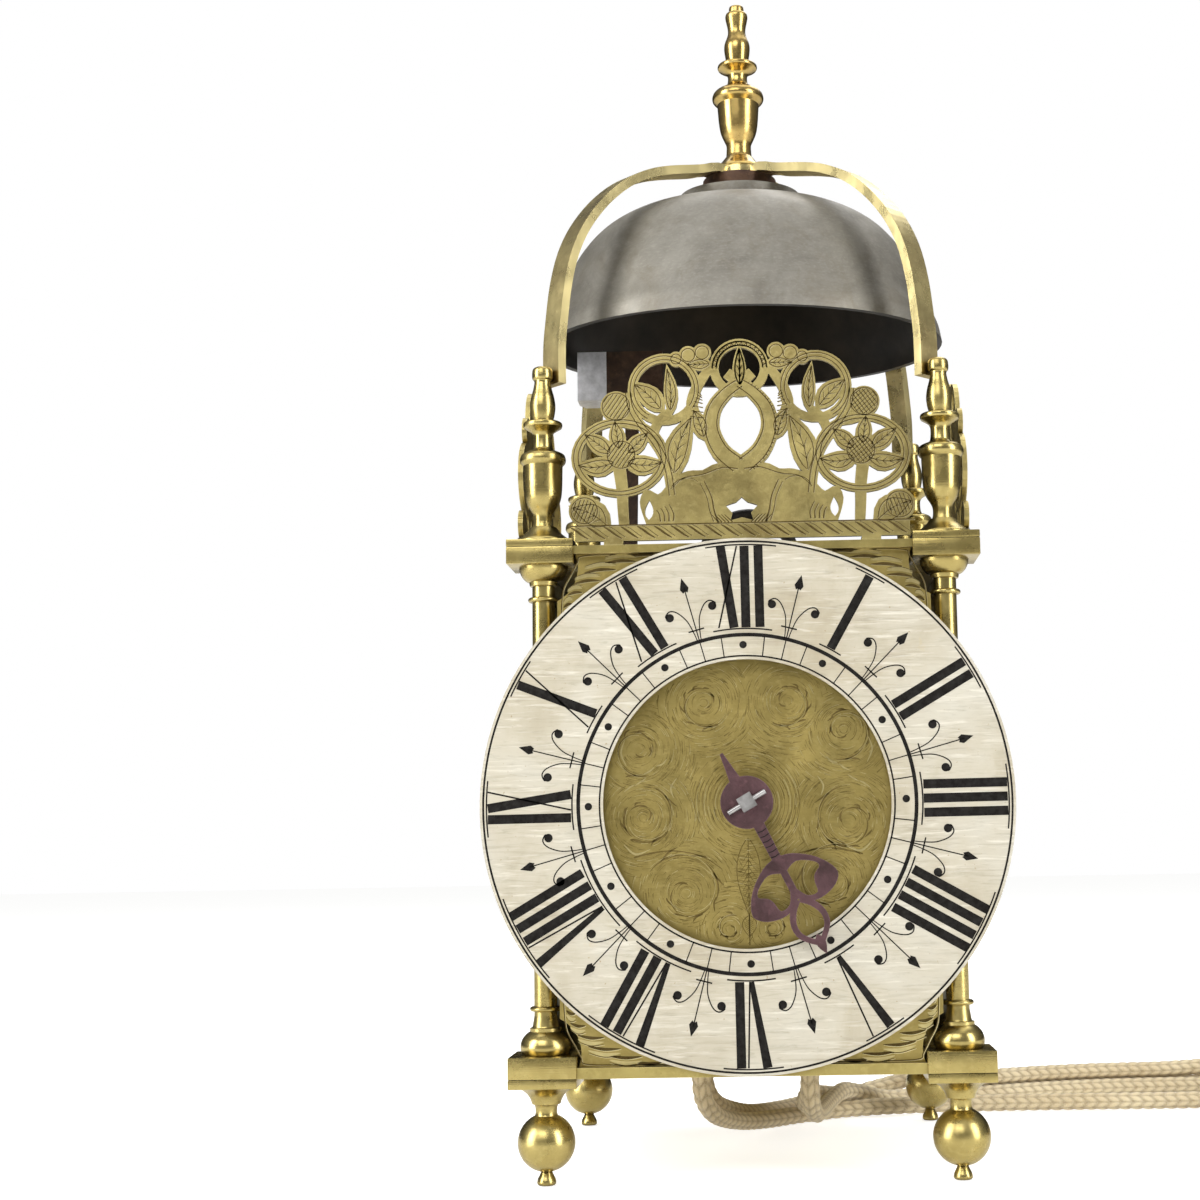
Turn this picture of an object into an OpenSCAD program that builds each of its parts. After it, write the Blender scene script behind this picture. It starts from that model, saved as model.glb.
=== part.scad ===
// Weight-driven lantern clock: a brass four-post case with pierced frets, a bell under a
// four-legged strap, a chapter ring with one hand, and a thirty-hour movement with two
// trains on an endless rope. Millimetres; origin on the floor under the case, +X right,
// -Y front, +Z up. All arbors run along Y.

/* [Case] */
// Distance between the axes of the corner pillars
pillar_span = 126; // [122:1:130]
// Side of the square blocks at the ends of pillars, feet and finials
block_side = 20.8; // [19:0.2:22]
// Thickness of those square blocks
block_h = 2.8; // [2.4:0.1:3.2]
// How far the plates reach past the pillar axes
plate_reach = 9.4; // [8.6:0.2:9.8]
// Height of a foot
foot_h = 32.2; // [30:0.2:36]
// Diameter of the ball of a foot
foot_ball_d = 17.6; // [16:0.2:18.4]
// Thickness of the bottom plate
bottom_plate_t = 3.3; // [2.6:0.1:3.6]
// Height of a pillar between the plates
pillar_h = 156.4; // [155:0.2:160]
// Diameter of a pillar's shaft
shaft_d = 6.9; // [6:0.1:7.6]
// Thickness of the top plate
top_plate_t = 2.5; // [2:0.1:3.2]
// Height of a corner finial
finial_h = 59.6; // [56:0.2:64]
// Thickness of the dial plate and the back plate
panel_t = 1.8; // [1.2:0.1:2.2]
// Thickness of a side door
door_t = 1.2; // [0.8:0.1:1.6]
// Diameter of a side door's hinge pins
door_pin_d = 3; // [2.4:0.1:3.6]

/* [Dial] */
// Outer diameter of the chapter ring
ring_d = 163; // [158:1:166]
// Inner diameter of the chapter ring
ring_hole_d = 87.8; // [82:0.5:92]
// Thickness of the chapter ring
ring_t = 1.6; // [1.2:0.1:2]
// Height of the dial centre over the bottom plate's upper face
dial_z = 78.4; // [78:0.2:79]
// Length of the hand from its centre to its tip
hand_len = 51; // [44:1:54]
// Thickness of the hand
hand_t = 1.4; // [1:0.1:1.8]
// Where the hand points at rest, clockwise from twelve
hand_turn = 153; // [0:1:359]

/* [Bell] */
// Outer diameter of the bell at its mouth
bell_d = 141; // [132:1:144]
// Height of the bell
bell_h = 55; // [50:1:60]
// Thickness of the bell's wall
bell_t = 2.6; // [2:0.1:3.2]
// Height of the bell's mouth over the top plate
bell_lift = 81.6; // [80:0.2:84]
// How far the bell leans forward on its stud, in degrees
bell_lean = 3.4; // [0:0.2:3.6]
// Width of a leg of the bell strap
strap_w = 8; // [6.5:0.5:9]
// Thickness of the bell strap
strap_t = 3; // [2.4:0.1:3.4]
// Height of the middle finial over the bell strap
crown_h = 62.9; // [56:0.1:68]

/* [Frets] */
// Thickness of a fret
fret_t = 1.6; // [1.2:0.1:2]
// Half the width of a fret's base
fret_half = 54; // [54:0.1:54.4]
// Height of a fret's base over the top plate
fret_lift = 1.2; // [1.2:0.1:2.4]

/* [Movement] */
// Teeth of both great wheels
great_teeth = 80; // [80]
// Teeth of the second wheel
second_teeth = 72; // [72]
// Teeth of the escape wheel
escape_teeth = 30; // [30]
// Leaves of the train pinions
leaves = 8; // [8]
// Teeth of the hour wheel
hour_teeth = 64; // [64]
// Module of the trains from great wheel to escape wheel
train_m = 0.95; // [0.95]
// Diameter of an arbor
arbor_d = 3.6; // [3:0.1:4]
// Diameter of a pivot
pivot_d = 2; // [1.6:0.1:2.4]
// Thickness of a train wheel
wheel_t = 2; // [1.6:0.1:2.4]
// Radius of the rope's middle line round a pulley
pulley_r = 18; // [17:0.5:18]

/* [Rope] */
// Diameter of the rope
rope_d = 6.4; // [5.8:0.1:6.4]
// Layers of turns are this far apart, and so are turns in a layer
rope_pitch = 7; // [6.9:0.1:7.2]
// Turns in each of the two layers of the spare coil
coil_turns = 5; // [2:1:5]

/* [Fits] */
// Radial clearance of a pivot or bearing
run_gap = 0.05; // [0.03:0.01:0.1]
// Clearance between pieces that pass or seat beside each other
gap = 0.3; // [0.2:0.05:0.5]

/* [Hidden] */
$fn = 48;
half = pillar_span / 2;
edge = half + plate_reach;
bot_z = foot_h;
floor_z = bot_z + bottom_plate_t;
ceil_z = floor_z + pillar_h;
deck_z = ceil_z + top_plate_t;
dial_c = floor_z + dial_z;
// pillar places by name: front and rear, left and right
corners = [
    ["front_left", -1, -1], ["front_right", 1, -1], ["rear_left", -1, 1], ["rear_right", 1, 1]
];
brass = [0.80, 0.68, 0.36];
pale_brass = [0.86, 0.76, 0.45];
silvered = [0.90, 0.88, 0.80];
iron = [0.30, 0.28, 0.27];
blued = [0.36, 0.22, 0.22];
steel = [0.55, 0.55, 0.54];
cotton = [0.93, 0.87, 0.72];

// tenon of a pillar through a plate
tenon_r = 1.9;
tenon_long = 3.4;
notch_r = block_side / 2 + 1.1;

// faces along Y, front to back
ring_back = -edge - gap;
ring_front = ring_back - ring_t;
panel_front = -edge + 3.2;
panel_rear = -panel_front;
hand_back = ring_front - 3;
hand_front = hand_back - hand_t;
arbor_square = 4.6;
arbor_end = hand_front - 2.6;
reach = -arbor_end;

// movement bars
bar_t = 3;
bar_w = 15;
front_bar_y = -50.5;
rear_bar_y = -front_bar_y;
bars_y = [front_bar_y, 0, rear_bar_y];
bar_tongue = 8;

// arbors as [x, z]
pinion_r = train_m * leaves / 2;
great_r = train_m * great_teeth / 2;
second_r = train_m * second_teeth / 2;
hoop_m = 0.85;
hoop_teeth = 64;
warn_m = 0.75;
warn_teeth = 48;
escape_r = 26.5;
verge_span = 51;
train_tall = great_r + second_r + 2 * pinion_r + escape_r / cos(verge_span);
// the great wheels clear the floor, and the anchor's arbor lies at least this far over the deck
great_clear = 3;
cock_rise = 4;
great_at = [0, max(floor_z + great_r + great_clear, deck_z + cock_rise - train_tall)];
second_at = great_at + [0, great_r + pinion_r];
escape_at = second_at + [0, second_r + pinion_r];
warn_at = second_at + [0, hoop_m * (hoop_teeth + leaves) / 2];
fly_at = warn_at + [0, warn_m * (warn_teeth + leaves) / 2];
hour_at = [0, dial_c];
hour_m = 2 * (hour_at.y - great_at.y) / (hour_teeth + leaves);
count_teeth = 78;
count_leaves = 10;
count_m = 0.75;
count_at = great_at + [0, count_m * (count_teeth + count_leaves) / 2];
hammer_at = [-46, great_at.y + 35.5];
lift_at = [-44, great_at.y + 7.5];
lock_at = [44, great_at.y + 23.5];

// planes of the wheels along Y
great_y = 21;
pulley_y = 12;
pulley_w = 11;
second_y = -35;
escape_y = -24;
hoop_y = 36;
warn_y = 28;
report_y = -57.5;
fly_y = 39.5;
count_y = rear_bar_y + bar_t / 2 + 2.5;
verge_at = escape_at + [0, escape_r / cos(verge_span)];
hammer_y = 25;
hammer_slot = [-50, -24];

// bell strap and its seats
corner_q = half * sqrt(2);
button_r = 3.3;
leg_q = corner_q - button_r - strap_t / 2 - 0.1;
leg_low = deck_z + finial_h - 5.2;
pin_z = deck_z + finial_h - 2.6;
mouth_z = deck_z + bell_lift;
crown_z = mouth_z + bell_h;
washer_h = 5.6;
strap_low = crown_z + washer_h;
strap_top = strap_low + strap_t;
stud_r = 2.5;

// the route of each rope strand: hand-chosen points where the rope lies on the floor
exit_x = pulley_r;
exit_y = pulley_y;
lead_front = [
    [-exit_x, -exit_y, bot_z], [-18, -12, 25], [-17.4, -9, 18], [-15, -1, 12.5], [-11, 12, 8.5],
    [-5, 27, 5.5], [3, 42, 3.8], [13, 56, 3.2], [27, 68, 3.2], [44, 76, 3.2], [63, 80, 3.2],
    [85, 82, 3.2], [110, 82.5, 3.2], [135, 82, 3.2], [160, 81.8, 3.2], [180, 84, 3.2],
    [197, 91, 3.2], [210, 99, 3.2], [222, 106, 3.2], [233.6, 109, 3.2]
];
loop_right = [
    [exit_x, -exit_y, bot_z], [18, -12, 25], [18.2, -9, 18], [19, 0, 12.5], [20.5, 14, 9.5],
    [22.5, 30, 8.6], [25, 46, 8.8], [28.5, 60, 9.9], [32, 70, 10.1], [38, 80, 8], [48, 90, 4.6],
    [63, 98.5, 3.2], [85, 108.2, 3.2], [110, 118.5, 3.2], [135, 125, 3.2], [160, 127.5, 3.2],
    [180, 127.5, 3.2], [191, 123.5, 3.2], [202, 119.4, 3.2], [213, 119, 3.2], [223, 123.6, 3.2],
    [228, 133.5, 3.2], [223, 143.4, 3.2], [213, 148.4, 3.2], [202, 146.5, 3.2],
    [191, 139.6, 3.2], [180, 135.6, 3.2], [160, 134.8, 3.2], [135, 132.4, 3.2],
    [110, 125.8, 3.2], [85, 115.4, 3.2], [63, 108, 3.2], [48, 100, 3.2], [36, 90, 4.4],
    [26, 77, 8], [18.5, 62, 10], [17, 48, 9.6], [17, 36, 9.8], [17.4, 24, 12.6],
    [18, 15, 18.5], [18, 12, 25], [exit_x, exit_y, bot_z]
];
lead_rear = [
    [-exit_x, exit_y, bot_z], [-18, 12, 25], [-17.3, 14.5, 18], [-14.5, 22, 12.5],
    [-10, 35, 8.5], [-3, 52, 5], [7, 72, 3.4], [18, 90, 3.2], [32, 104, 3.6], [48, 112, 6.4],
    [62, 111.4, 9.8], [74, 110, 9.7], [85, 111.8, 9], [110, 122.2, 9], [135, 128.7, 9],
    [160, 131.2, 9], [174, 131.5, 9.6], [183, 129.4, 10.1], [189.4, 123.6, 10.2],
    [192, 115, 10.2], [193, 103, 10.2], [193.6, 90, 10.2], [192.4, 77.4, 10.2]
];
coil_at = [240, 58];
coil_r = 51;
coil_start = 90;
coil_end = 165;
coil_low = 3.2;
coil_high = 10.2;

// Points of an arc from angle a to angle b
function arc(c, r, a, b, n = 8) = [
    for (i = [0:n]) c + r * [cos(a + (b - a) * i / n), sin(a + (b - a) * i / n)]
];
function unit(v) = v / norm(v);
// Direction of a line of points at point i
function way(pts, i) = unit(pts[min(i + 1, len(pts) - 1)] - pts[max(i - 1, 0)]);
// Catmull-Rom curve through points, k steps a span
function smooth(pts, k = 6) = [
    for (i = [0:len(pts) - 2], j = [0:k - (i == len(pts) - 2 ? 0 : 1)])
        let (
            t = j / k, a = pts[max(i - 1, 0)], b = pts[i], c = pts[i + 1],
            d = pts[min(i + 2, len(pts) - 1)]
        )
        0.5 * (2 * b + (c - a) * t + (2 * a - 5 * b + 4 * c - d) * t * t
            + (3 * b - a - 3 * c + d) * t * t * t)
];

// Flat shapes
module band(pts, w0, w1) {
    n = len(pts) - 1;
    function side(i, s) = let (d = way(pts, i), w = (w0 + (w1 - w0) * i / n) / 2)
        pts[i] + s * w * [-d.y, d.x];
    polygon(concat([for (i = [0:n]) side(i, 1)], [for (i = [n:-1:0]) side(i, -1)]));
}
module hoop(c, r, w) {
    translate(c) difference() {
        circle(r + w / 2);
        circle(r - w / 2);
    }
}
module leaf(a, b, w, bend = 0) {
    d = b - a;
    n = unit([-d.y, d.x]);
    function edge_point(t, s) = a + d * t + n * (bend * sin(180 * t) + s * w / 2 * sin(180 * pow(t, 0.8)));
    polygon(concat([for (i = [0:6]) edge_point(i / 6, 1)], [for (i = [5:-1:1]) edge_point(i / 6, -1)]));
}
module dot(c, r) {
    translate(c) circle(r);
}
module link(a, b, w) {
    band([a, b], w, w);
    dot(a, w / 2);
    dot(b, w / 2);
}

// A flat shape drawn in X and Z, upright and spread evenly about the plane y
module upright(y, t) {
    translate([0, y + t / 2, 0]) rotate([90, 0, 0]) linear_extrude(t) children();
}
// A round bar along Y between two places
module rod(at, y0, y1, r) {
    translate([at.x, y1, at.y]) rotate([90, 0, 0]) cylinder(r = r, h = y1 - y0);
}
module on_arbor(at, y, t) {
    translate([at.x, y + t / 2, at.y]) rotate([90, 0, 0]) linear_extrude(t) children();
}

// Toothed shapes. Wheel teeth and pinion leaves have radial flanks and rounded tips.
function tooth(rp, root, half_angle, steps, phase) = concat(
    [root * [cos(phase - half_angle), sin(phase - half_angle)]],
    [for (s = steps) (rp + s[0]) * [cos(phase - half_angle * s[1]), sin(phase - half_angle * s[1])]],
    [for (i = [len(steps) - 1:-1:0]) (rp + steps[i][0])
        * [cos(phase + half_angle * steps[i][1]), sin(phase + half_angle * steps[i][1])]],
    [root * [cos(phase + half_angle), sin(phase + half_angle)]]
);
module wheel_shape(n, m, phase) {
    rp = n * m / 2;
    w = 90 / n * 0.84;
    polygon([for (i = [0:n - 1]) each
        tooth(rp, rp - 1.15 * m, w, [[0, 1], [0.45 * m, 0.78], [0.85 * m, 0.3]], phase + 360 * i / n)]);
}
module pinion_shape(n, m, phase) {
    rp = n * m / 2;
    w = 90 / n * 0.7;
    polygon([for (i = [0:n - 1]) each
        tooth(rp, rp - 1.3 * m, w, [[0, 1], [0.3 * m, 0.75], [0.5 * m, 0.3]], phase + 360 * i / n)]);
}
// Rim opening between spokes: four sectors are cut out of a wheel
module crossings(r_in, r_out, spoke, n = 4) {
    for (i = [0:n - 1]) rotate(360 / n * (i + 0.5)) {
        a_in = 180 / n - asin(spoke / 2 / r_in);
        a_out = 180 / n - asin(spoke / 2 / r_out);
        polygon(concat(arc([0, 0], r_out, -a_out, a_out, 14), arc([0, 0], r_in, a_in, -a_in, 8)));
    }
}
module train_wheel(at, y, n, m, phase, t = wheel_t, hub = 6, rim = 2.6) {
    on_arbor(at, y, t) difference() {
        wheel_shape(n, m, phase);
        crossings(hub, n * m / 2 - 1.15 * m - rim, 3);
    }
}

// Turned work: a profile of [radius, height] points spun round Z
module turned(profile) {
    rotate_extrude() polygon(concat([[0, profile[0].y]], profile, [[0, profile[len(profile) - 1].y]]));
}
module block(z, side = block_side, h = block_h) {
    translate([-side / 2, -side / 2, z]) cube([side, side, h]);
}

// A foot: nub, ball, neck, flared moulding and square
module foot() {
    ball = foot_ball_d / 2;
    square_z = foot_h - block_h;
    ball_z = 3.8 + ball;
    difference() {
        union() {
            turned(concat(
                [[2.1, 0], [2.75, 0.6], [2.5, 2], [1.5, 4.2], [1.7, 4.5]],
                arc([0, ball_z], ball, -76, 62, 16),
                [[3.6, square_z - 7.4], [3.5, square_z - 5.8], [4.1, square_z - 5.2]],
                arc([9.2, square_z - 5.4], 5, 172, 100, 5),
                [[9, square_z]]
            ));
            block(square_z);
        }
        translate([0, 0, foot_h - tenon_long - gap]) cylinder(r = tenon_r + run_gap, h = 10);
    }
}

// A pillar between the plates, with a tenon at each end
module pillar() {
    shaft = shaft_d / 2;
    top = pillar_h;
    translate([0, 0, floor_z]) {
        translate([0, 0, -bottom_plate_t - tenon_long]) cylinder(r = tenon_r, h = tenon_long + bottom_plate_t + 1);
        block(0, block_side, 3.3);
        turned(concat(
            [[6.2, 3], [6.2, 3.6]],
            arc([3, 6.9], 5, -50, 52, 8),
            [[4.9, 11.4], [4.9, 12.2], [3.9, 12.6], [3.9, 13.6], [shaft, 14.2],
             [shaft, 18.4], [4.9, 18.7], [4.9, 19.3], [shaft, 19.6],
             [shaft, top - 13.8], [4.9, top - 13.5], [4.9, top - 12.9], [shaft, top - 12.6],
             [shaft, top - 9], [4.4, top - 8.7], [4.4, top - 7.6]],
            arc([2.6, top - 3], 4.9, -58, 0, 7),
            [[7.5, top - 2]]
        ));
        block(top - 2.9, block_side, 2.9);
        translate([0, 0, top - 1]) cylinder(r = tenon_r, h = 1 + top_plate_t + tenon_long);
    }
}

// The outline of a vase finial over its foot, scaled by s across, with h for each stage
function vase(s, z) = [
    [3.0 * s, z], [2.85 * s, z + 0.6], [2.85 * s, z + 6.2], [3.5 * s, z + 7],
    [3.9 * s, z + 8.6], [4.6 * s, z + 12], [5.15 * s, z + 16], [5.35 * s, z + 19.6],
    [5.9 * s, z + 20.2], [7 * s, z + 21.4], [7 * s, z + 23], [6.2 * s, z + 24.2], [3.8 * s, z + 25.2],
    [3.0 * s, z + 27], [3.0 * s, z + 30.4], [3.6 * s, z + 31.2], [5.6 * s, z + 32.6],
    [6 * s, z + 33.4], [5.4 * s, z + 34.6], [3.0 * s, z + 35.2]
];

// A corner finial: square, flared base, vase, collar, baluster and button
module finial(inwards) {
    z = deck_z;
    top = deck_z + finial_h;
    difference() {
        union() {
            block(z, block_side, 2.3);
            turned(concat(
                [[8.6, z + 2.2]],
                arc([8.8, z + 7.6], 5.4, 262, 190, 5),
                vase(1, z + 6.8),
                [[3.2, top - 16.4], [3.85, top - 13.4], [3.7, top - 11.6], [2.7, top - 8.4],
                 [2.1, top - 5.6], [2.3, top - 5.1], [3.1, top - 4.7],
                 [button_r, top - 4], [button_r, top - 1.3]],
                arc([button_r - 1.3, top - 1.3], 1.3, 10, 80, 3),
                [[0.6, top]]
            ));
        }
        translate([0, 0, z - 1]) cylinder(r = tenon_r + run_gap, h = 1 + tenon_long + gap);
        rotate(inwards) pin_hole(run_gap);
    }
}

// Bore for a strap pin, from the middle of the clock outwards, in a finial's own frame
module pin_hole(c) {
    translate([0, 0, pin_z]) rotate([0, 90, 0]) translate([0, 0, -12]) cylinder(r = 0.9 + c, h = 12.8);
}

// Plates
module corner_tenon_holes(z, t) {
    for (c = corners) translate([c[1] * half, c[2] * half, z - 1]) cylinder(r = tenon_r + run_gap, h = t + 2);
}
module slot_for_bars(z, t) {
    for (y = bars_y) translate([-bar_tongue / 2 - gap / 2, y - bar_t / 2 - gap / 2, z - 1])
        cube([bar_tongue + gap, bar_t + gap, t + 2]);
}
module door_pin_holes(z, t) {
    for (s = [-1, 1]) translate([s * door_x, hinge_y, z - 1])
        cylinder(r = door_pin_d / 2 + run_gap, h = t + 2);
}
door_x = half + 2.4;
hinge_y = half - block_side / 2 - 4;

module bottom_plate() {
    color(brass) difference() {
        translate([-edge, -edge, bot_z]) cube([2 * edge, 2 * edge, bottom_plate_t]);
        corner_tenon_holes(bot_z, bottom_plate_t);
        slot_for_bars(bot_z, bottom_plate_t);
        door_pin_holes(bot_z, bottom_plate_t);
        for (x = [-1, 1], y = [-1, 1])
            translate([x * exit_x, y * exit_y, bot_z - 1]) cylinder(r = rope_d / 2 + 1.3, h = bottom_plate_t + 2);
        translate([spring_x, hammer_y, bot_z - 1]) cylinder(r = 1.5 + run_gap, h = bottom_plate_t + 2);
    }
}

module top_plate() {
    color(brass) difference() {
        translate([-edge, -edge, ceil_z]) cube([2 * edge, 2 * edge, top_plate_t]);
        corner_tenon_holes(ceil_z, top_plate_t);
        slot_for_bars(ceil_z, top_plate_t);
        door_pin_holes(ceil_z, top_plate_t);
        // way for the anchor's arms
        translate([-27, escape_y - 5, ceil_z - 1]) cube([54, 10, top_plate_t + 2]);
        // way for the hammer's arm
        translate([hammer_slot[0], hammer_y - 5, ceil_z - 1])
            cube([hammer_slot[1] - hammer_slot[0], 10, top_plate_t + 2]);
        for (s = fret_sides) rotate(s) for (x = fret_tabs)
            translate([x, -edge + fret_t + 4, ceil_z - 1]) cylinder(r = 1.2 + run_gap, h = top_plate_t + 2);
        for (x = [-1, 1]) translate([x * hoop_r, hoop_y0, ceil_z - 1])
            cylinder(r = 1.8 + run_gap, h = top_plate_t + 2);
    }
}

// A sheet between the plates with notches round the pillars' mouldings
module panel_shape() {
    wide = half - 5;
    difference() {
        translate([-wide, floor_z]) square([2 * wide, pillar_h]);
        for (x = [-1, 1], z = [floor_z + 4, ceil_z - 4]) dot([x * half, z], notch_r);
    }
}

module dial_plate() {
    color(brass) upright(panel_front + panel_t / 2, panel_t) difference() {
        panel_shape();
        dot(hour_at, arbor_r + run_gap);
        for (p = ring_foot_at) dot(hour_at + p, 1.5 + run_gap);
    }
}
arbor_r = 3;
ring_foot_at = [for (a = [45:90:315]) 58 * [cos(a), sin(a)]];

module chapter_ring() {
    color(silvered) upright(ring_back - ring_t / 2, ring_t) difference() {
        dot(hour_at, ring_d / 2);
        dot(hour_at, ring_hole_d / 2);
        for (p = ring_foot_at) dot(hour_at + p, 1.5 + run_gap);
    }
}

// Four feet riveted through the ring and the dial plate, shouldered between them
module ring_feet() {
    color(brass) for (p = ring_foot_at) {
        rod(hour_at + p, ring_front, panel_front + panel_t + 1, 1.5);
        rod(hour_at + p, ring_back, panel_front, 2.6);
        rod(hour_at + p, panel_front + panel_t, panel_front + panel_t + 1, 2.4);
    }
}

module back_plate() {
    color(iron) upright(panel_rear - panel_t / 2, panel_t) difference() {
        panel_shape();
        for (x = [-1, 1]) dot([x * 40, floor_z + 16], 2 + run_gap);
    }
}

// Iron ring over the rear edge of the top plate, by which the clock hangs on a hook
hoop_r = 17;
hoop_y0 = edge - 9;
hoop_wire = 2.5;
hoop_rise = 16;
module hanging_hoop() {
    z = deck_z;
    color(iron) {
        translate([0, hoop_y0, z + hoop_rise]) rotate([90, 0, 0])
            rotate_extrude(angle = 180) translate([hoop_r, 0]) circle(hoop_wire);
        for (x = [-1, 1]) translate([x * hoop_r, hoop_y0, 0]) {
            translate([0, 0, z]) cylinder(r = hoop_wire, h = hoop_rise);
            translate([0, 0, z]) cylinder(r = 4.4, h = 1.6);
            translate([0, 0, ceil_z - 1.2]) cylinder(r = 1.8, h = top_plate_t + 1.4);
        }
    }
}

// Two iron points on the back plate that keep the clock off the wall
module wall_spurs() {
    color(iron) for (x = [-1, 1]) translate([x * 40, 0, floor_z + 16]) rotate([-90, 0, 0]) {
        translate([0, 0, panel_rear - panel_t - 1.2]) cylinder(r = 2, h = panel_t + 1.4);
        translate([0, 0, panel_rear]) cylinder(r = 4, h = 1.6);
        translate([0, 0, panel_rear + 1.5]) cylinder(r1 = 2.4, r2 = 0.4, h = reach - panel_rear - 1.5);
    }
}

// A side door: a sheet with rolled rear edge, two hinge pins and a pull
module door(s) {
    h = pillar_h - 2 * gap;
    z = floor_z + gap;
    w = 2 * hinge_y + 3;
    color(brass) {
        translate([s * door_x - door_t / 2, hinge_y - w, z]) cube([door_t, w, h]);
        translate([s * door_x, hinge_y, z]) cylinder(r = door_pin_d / 2 + 0.6, h = h);
        translate([s * door_x, hinge_y, bot_z + 0.4])
            cylinder(r = door_pin_d / 2, h = ceil_z + top_plate_t - bot_z - 0.8);
        translate([s * door_x, 6 - hinge_y, floor_z + pillar_h / 2]) rotate([0, s * 90, 0]) {
            cylinder(r = 1.4, h = 4);
            translate([0, 0, 3]) cylinder(r1 = 2, r2 = 3, h = 1.6);
            translate([0, 0, 4.5]) cylinder(r1 = 3, r2 = 1.6, h = 1.4);
        }
    }
}
module left_door() { door(-1); }
module right_door() { door(1); }

// Frets
fret_sides = [0, 90, 270];
fret_tabs = [-40, 40];
fret_z = deck_z + fret_lift;
module half_fret() {
    $fn = 30;
    // base strip on its tab, dolphin's body and the leaf at the end
    square([fret_half - 2, 5]);
    translate([fret_tabs[1] - 3, -fret_lift]) square([6, fret_lift + 1]);
    difference() {
        union() {
            polygon(concat(
                [[0, 4], [0, 24.4], [4, 24.4]],
                smooth([[5, 24.3], [9, 23.4], [12, 21.8], [15, 21.8], [18, 21.2], [21.4, 19.2], [24, 16.2],
                    [26, 14.4], [28.4, 15.8], [30.6, 15.2], [31.7, 12.2], [31, 8.6], [29.4, 4]], 2)
            ));
            leaf([40.6, 4.2], [fret_half, 11.4], 9.4, 1);
            dot([49, 9.7], 4.9);
        }
        polygon([[0, 13], [1.8, 11.4], [5, 10.4], [2.9, 8], [3.6, 5.6], [0, 6.6], [-1, 9]]);
        leaf([28.9, 6.4], [28.7, 12.6], 2.6);
    }
    // tails that cross under the top arch, round a pointed opening
    band(smooth([[1, 23], [6.2, 27.6], [9.1, 34.4], [8.3, 41], [4.6, 46], [0, 49.4], [-4, 52.6]], 3), 6.8, 3.4);
    leaf([11, 31], [15, 42], 5.6, 0.4);
    band(smooth([[13.2, 37.4], [15, 42], [14, 47], [11.4, 51.4], [9.4, 54]], 3), 4.2, 2.6);
    // arch over the middle with its bud and lobes
    hoop([0, 54.2], 7.9, 2.8);
    leaf([0, 47], [0, 62], 4.4);
    dot([11.6, 59.3], 2.9);
    dot([16, 58.6], 2.9);
    dot([19.8, 57.4], 2.4);
    leaf([8.2, 55.6], [17.4, 55.6], 4.4);
    // upper scroll with a tulip
    hoop([23.6, 47.8], 10.1, 2.8);
    band(smooth([[35, 47], [34.2, 42], [31.4, 37], [27.8, 32.4], [24.6, 27.2], [22.6, 21.4], [21.6, 14]], 3), 2.8, 3.4);
    band(smooth([[22, 40.4], [24.8, 38.4], [26.8, 35], [27.4, 31]], 3), 3, 3);
    leaf([21.6, 39], [22.8, 56], 4.6, 0.6);
    leaf([23.6, 40.4], [34, 50.6], 7, 0.6);
    // leaf between the stem and the tails
    leaf([21.8, 18.4], [14.6, 40.8], 8.6, -1.2);
    // lower scroll, wider than high, with its flower
    translate([37.8, 26.4]) scale([1.2, 1]) hoop([0, 0], 11.4, 2.6);
    dot([37.4, 27.2], 4.8);
    leaf([38, 24.8], [52.2, 24], 6.4, -1);
    leaf([37, 24.8], [23.2, 24.6], 6.6, 1);
    leaf([39.6, 27], [49.6, 34.6], 6);
    leaf([36, 27], [28.2, 34.8], 5.6);
    leaf([37.8, 28], [39.4, 39], 5.4);
    band(smooth([[38, 23], [37.2, 17], [37, 11], [36.6, 4]], 2), 4, 3.2);
    // hatched boss over it, in a leaf
    dot([38.8, 42.6], 4.9);
    leaf([41.6, 42.8], [29.6, 35], 6.6);
}
module fret() {
    // the pierced sheet stands on two tabs with feet turned inwards
    color(pale_brass) {
        upright(-edge + fret_t / 2, fret_t) translate([0, fret_z]) offset(delta = -0.15) offset(delta = 0.15)
            for (s = [0, 1]) mirror([s, 0]) half_fret();
        for (x = fret_tabs) difference() {
            translate([x - 3, -edge + fret_t / 2, deck_z]) cube([6, 7.5, 1.2]);
            translate([x, -edge + fret_t + 4, deck_z - 1]) cylinder(r = 1.2 + run_gap, h = 4);
        }
    }
}
module front_fret() { fret(); }
module left_fret() { rotate(270) fret(); }
module right_fret() { rotate(90) fret(); }
module fret_screws() {
    color(iron) for (s = fret_sides) rotate(s) for (x = fret_tabs)
        translate([x, -edge + fret_t + 4, 0]) difference() {
            union() {
                translate([0, 0, ceil_z + 0.4]) cylinder(r = 1.2, h = top_plate_t + 1.4);
                translate([0, 0, deck_z + 1.2]) cylinder(r1 = 2.2, r2 = 1.9, h = 1.3);
            }
            translate([-3, -0.3, deck_z + 1.9]) cube([6, 0.6, 2]);
        }
}

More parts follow.
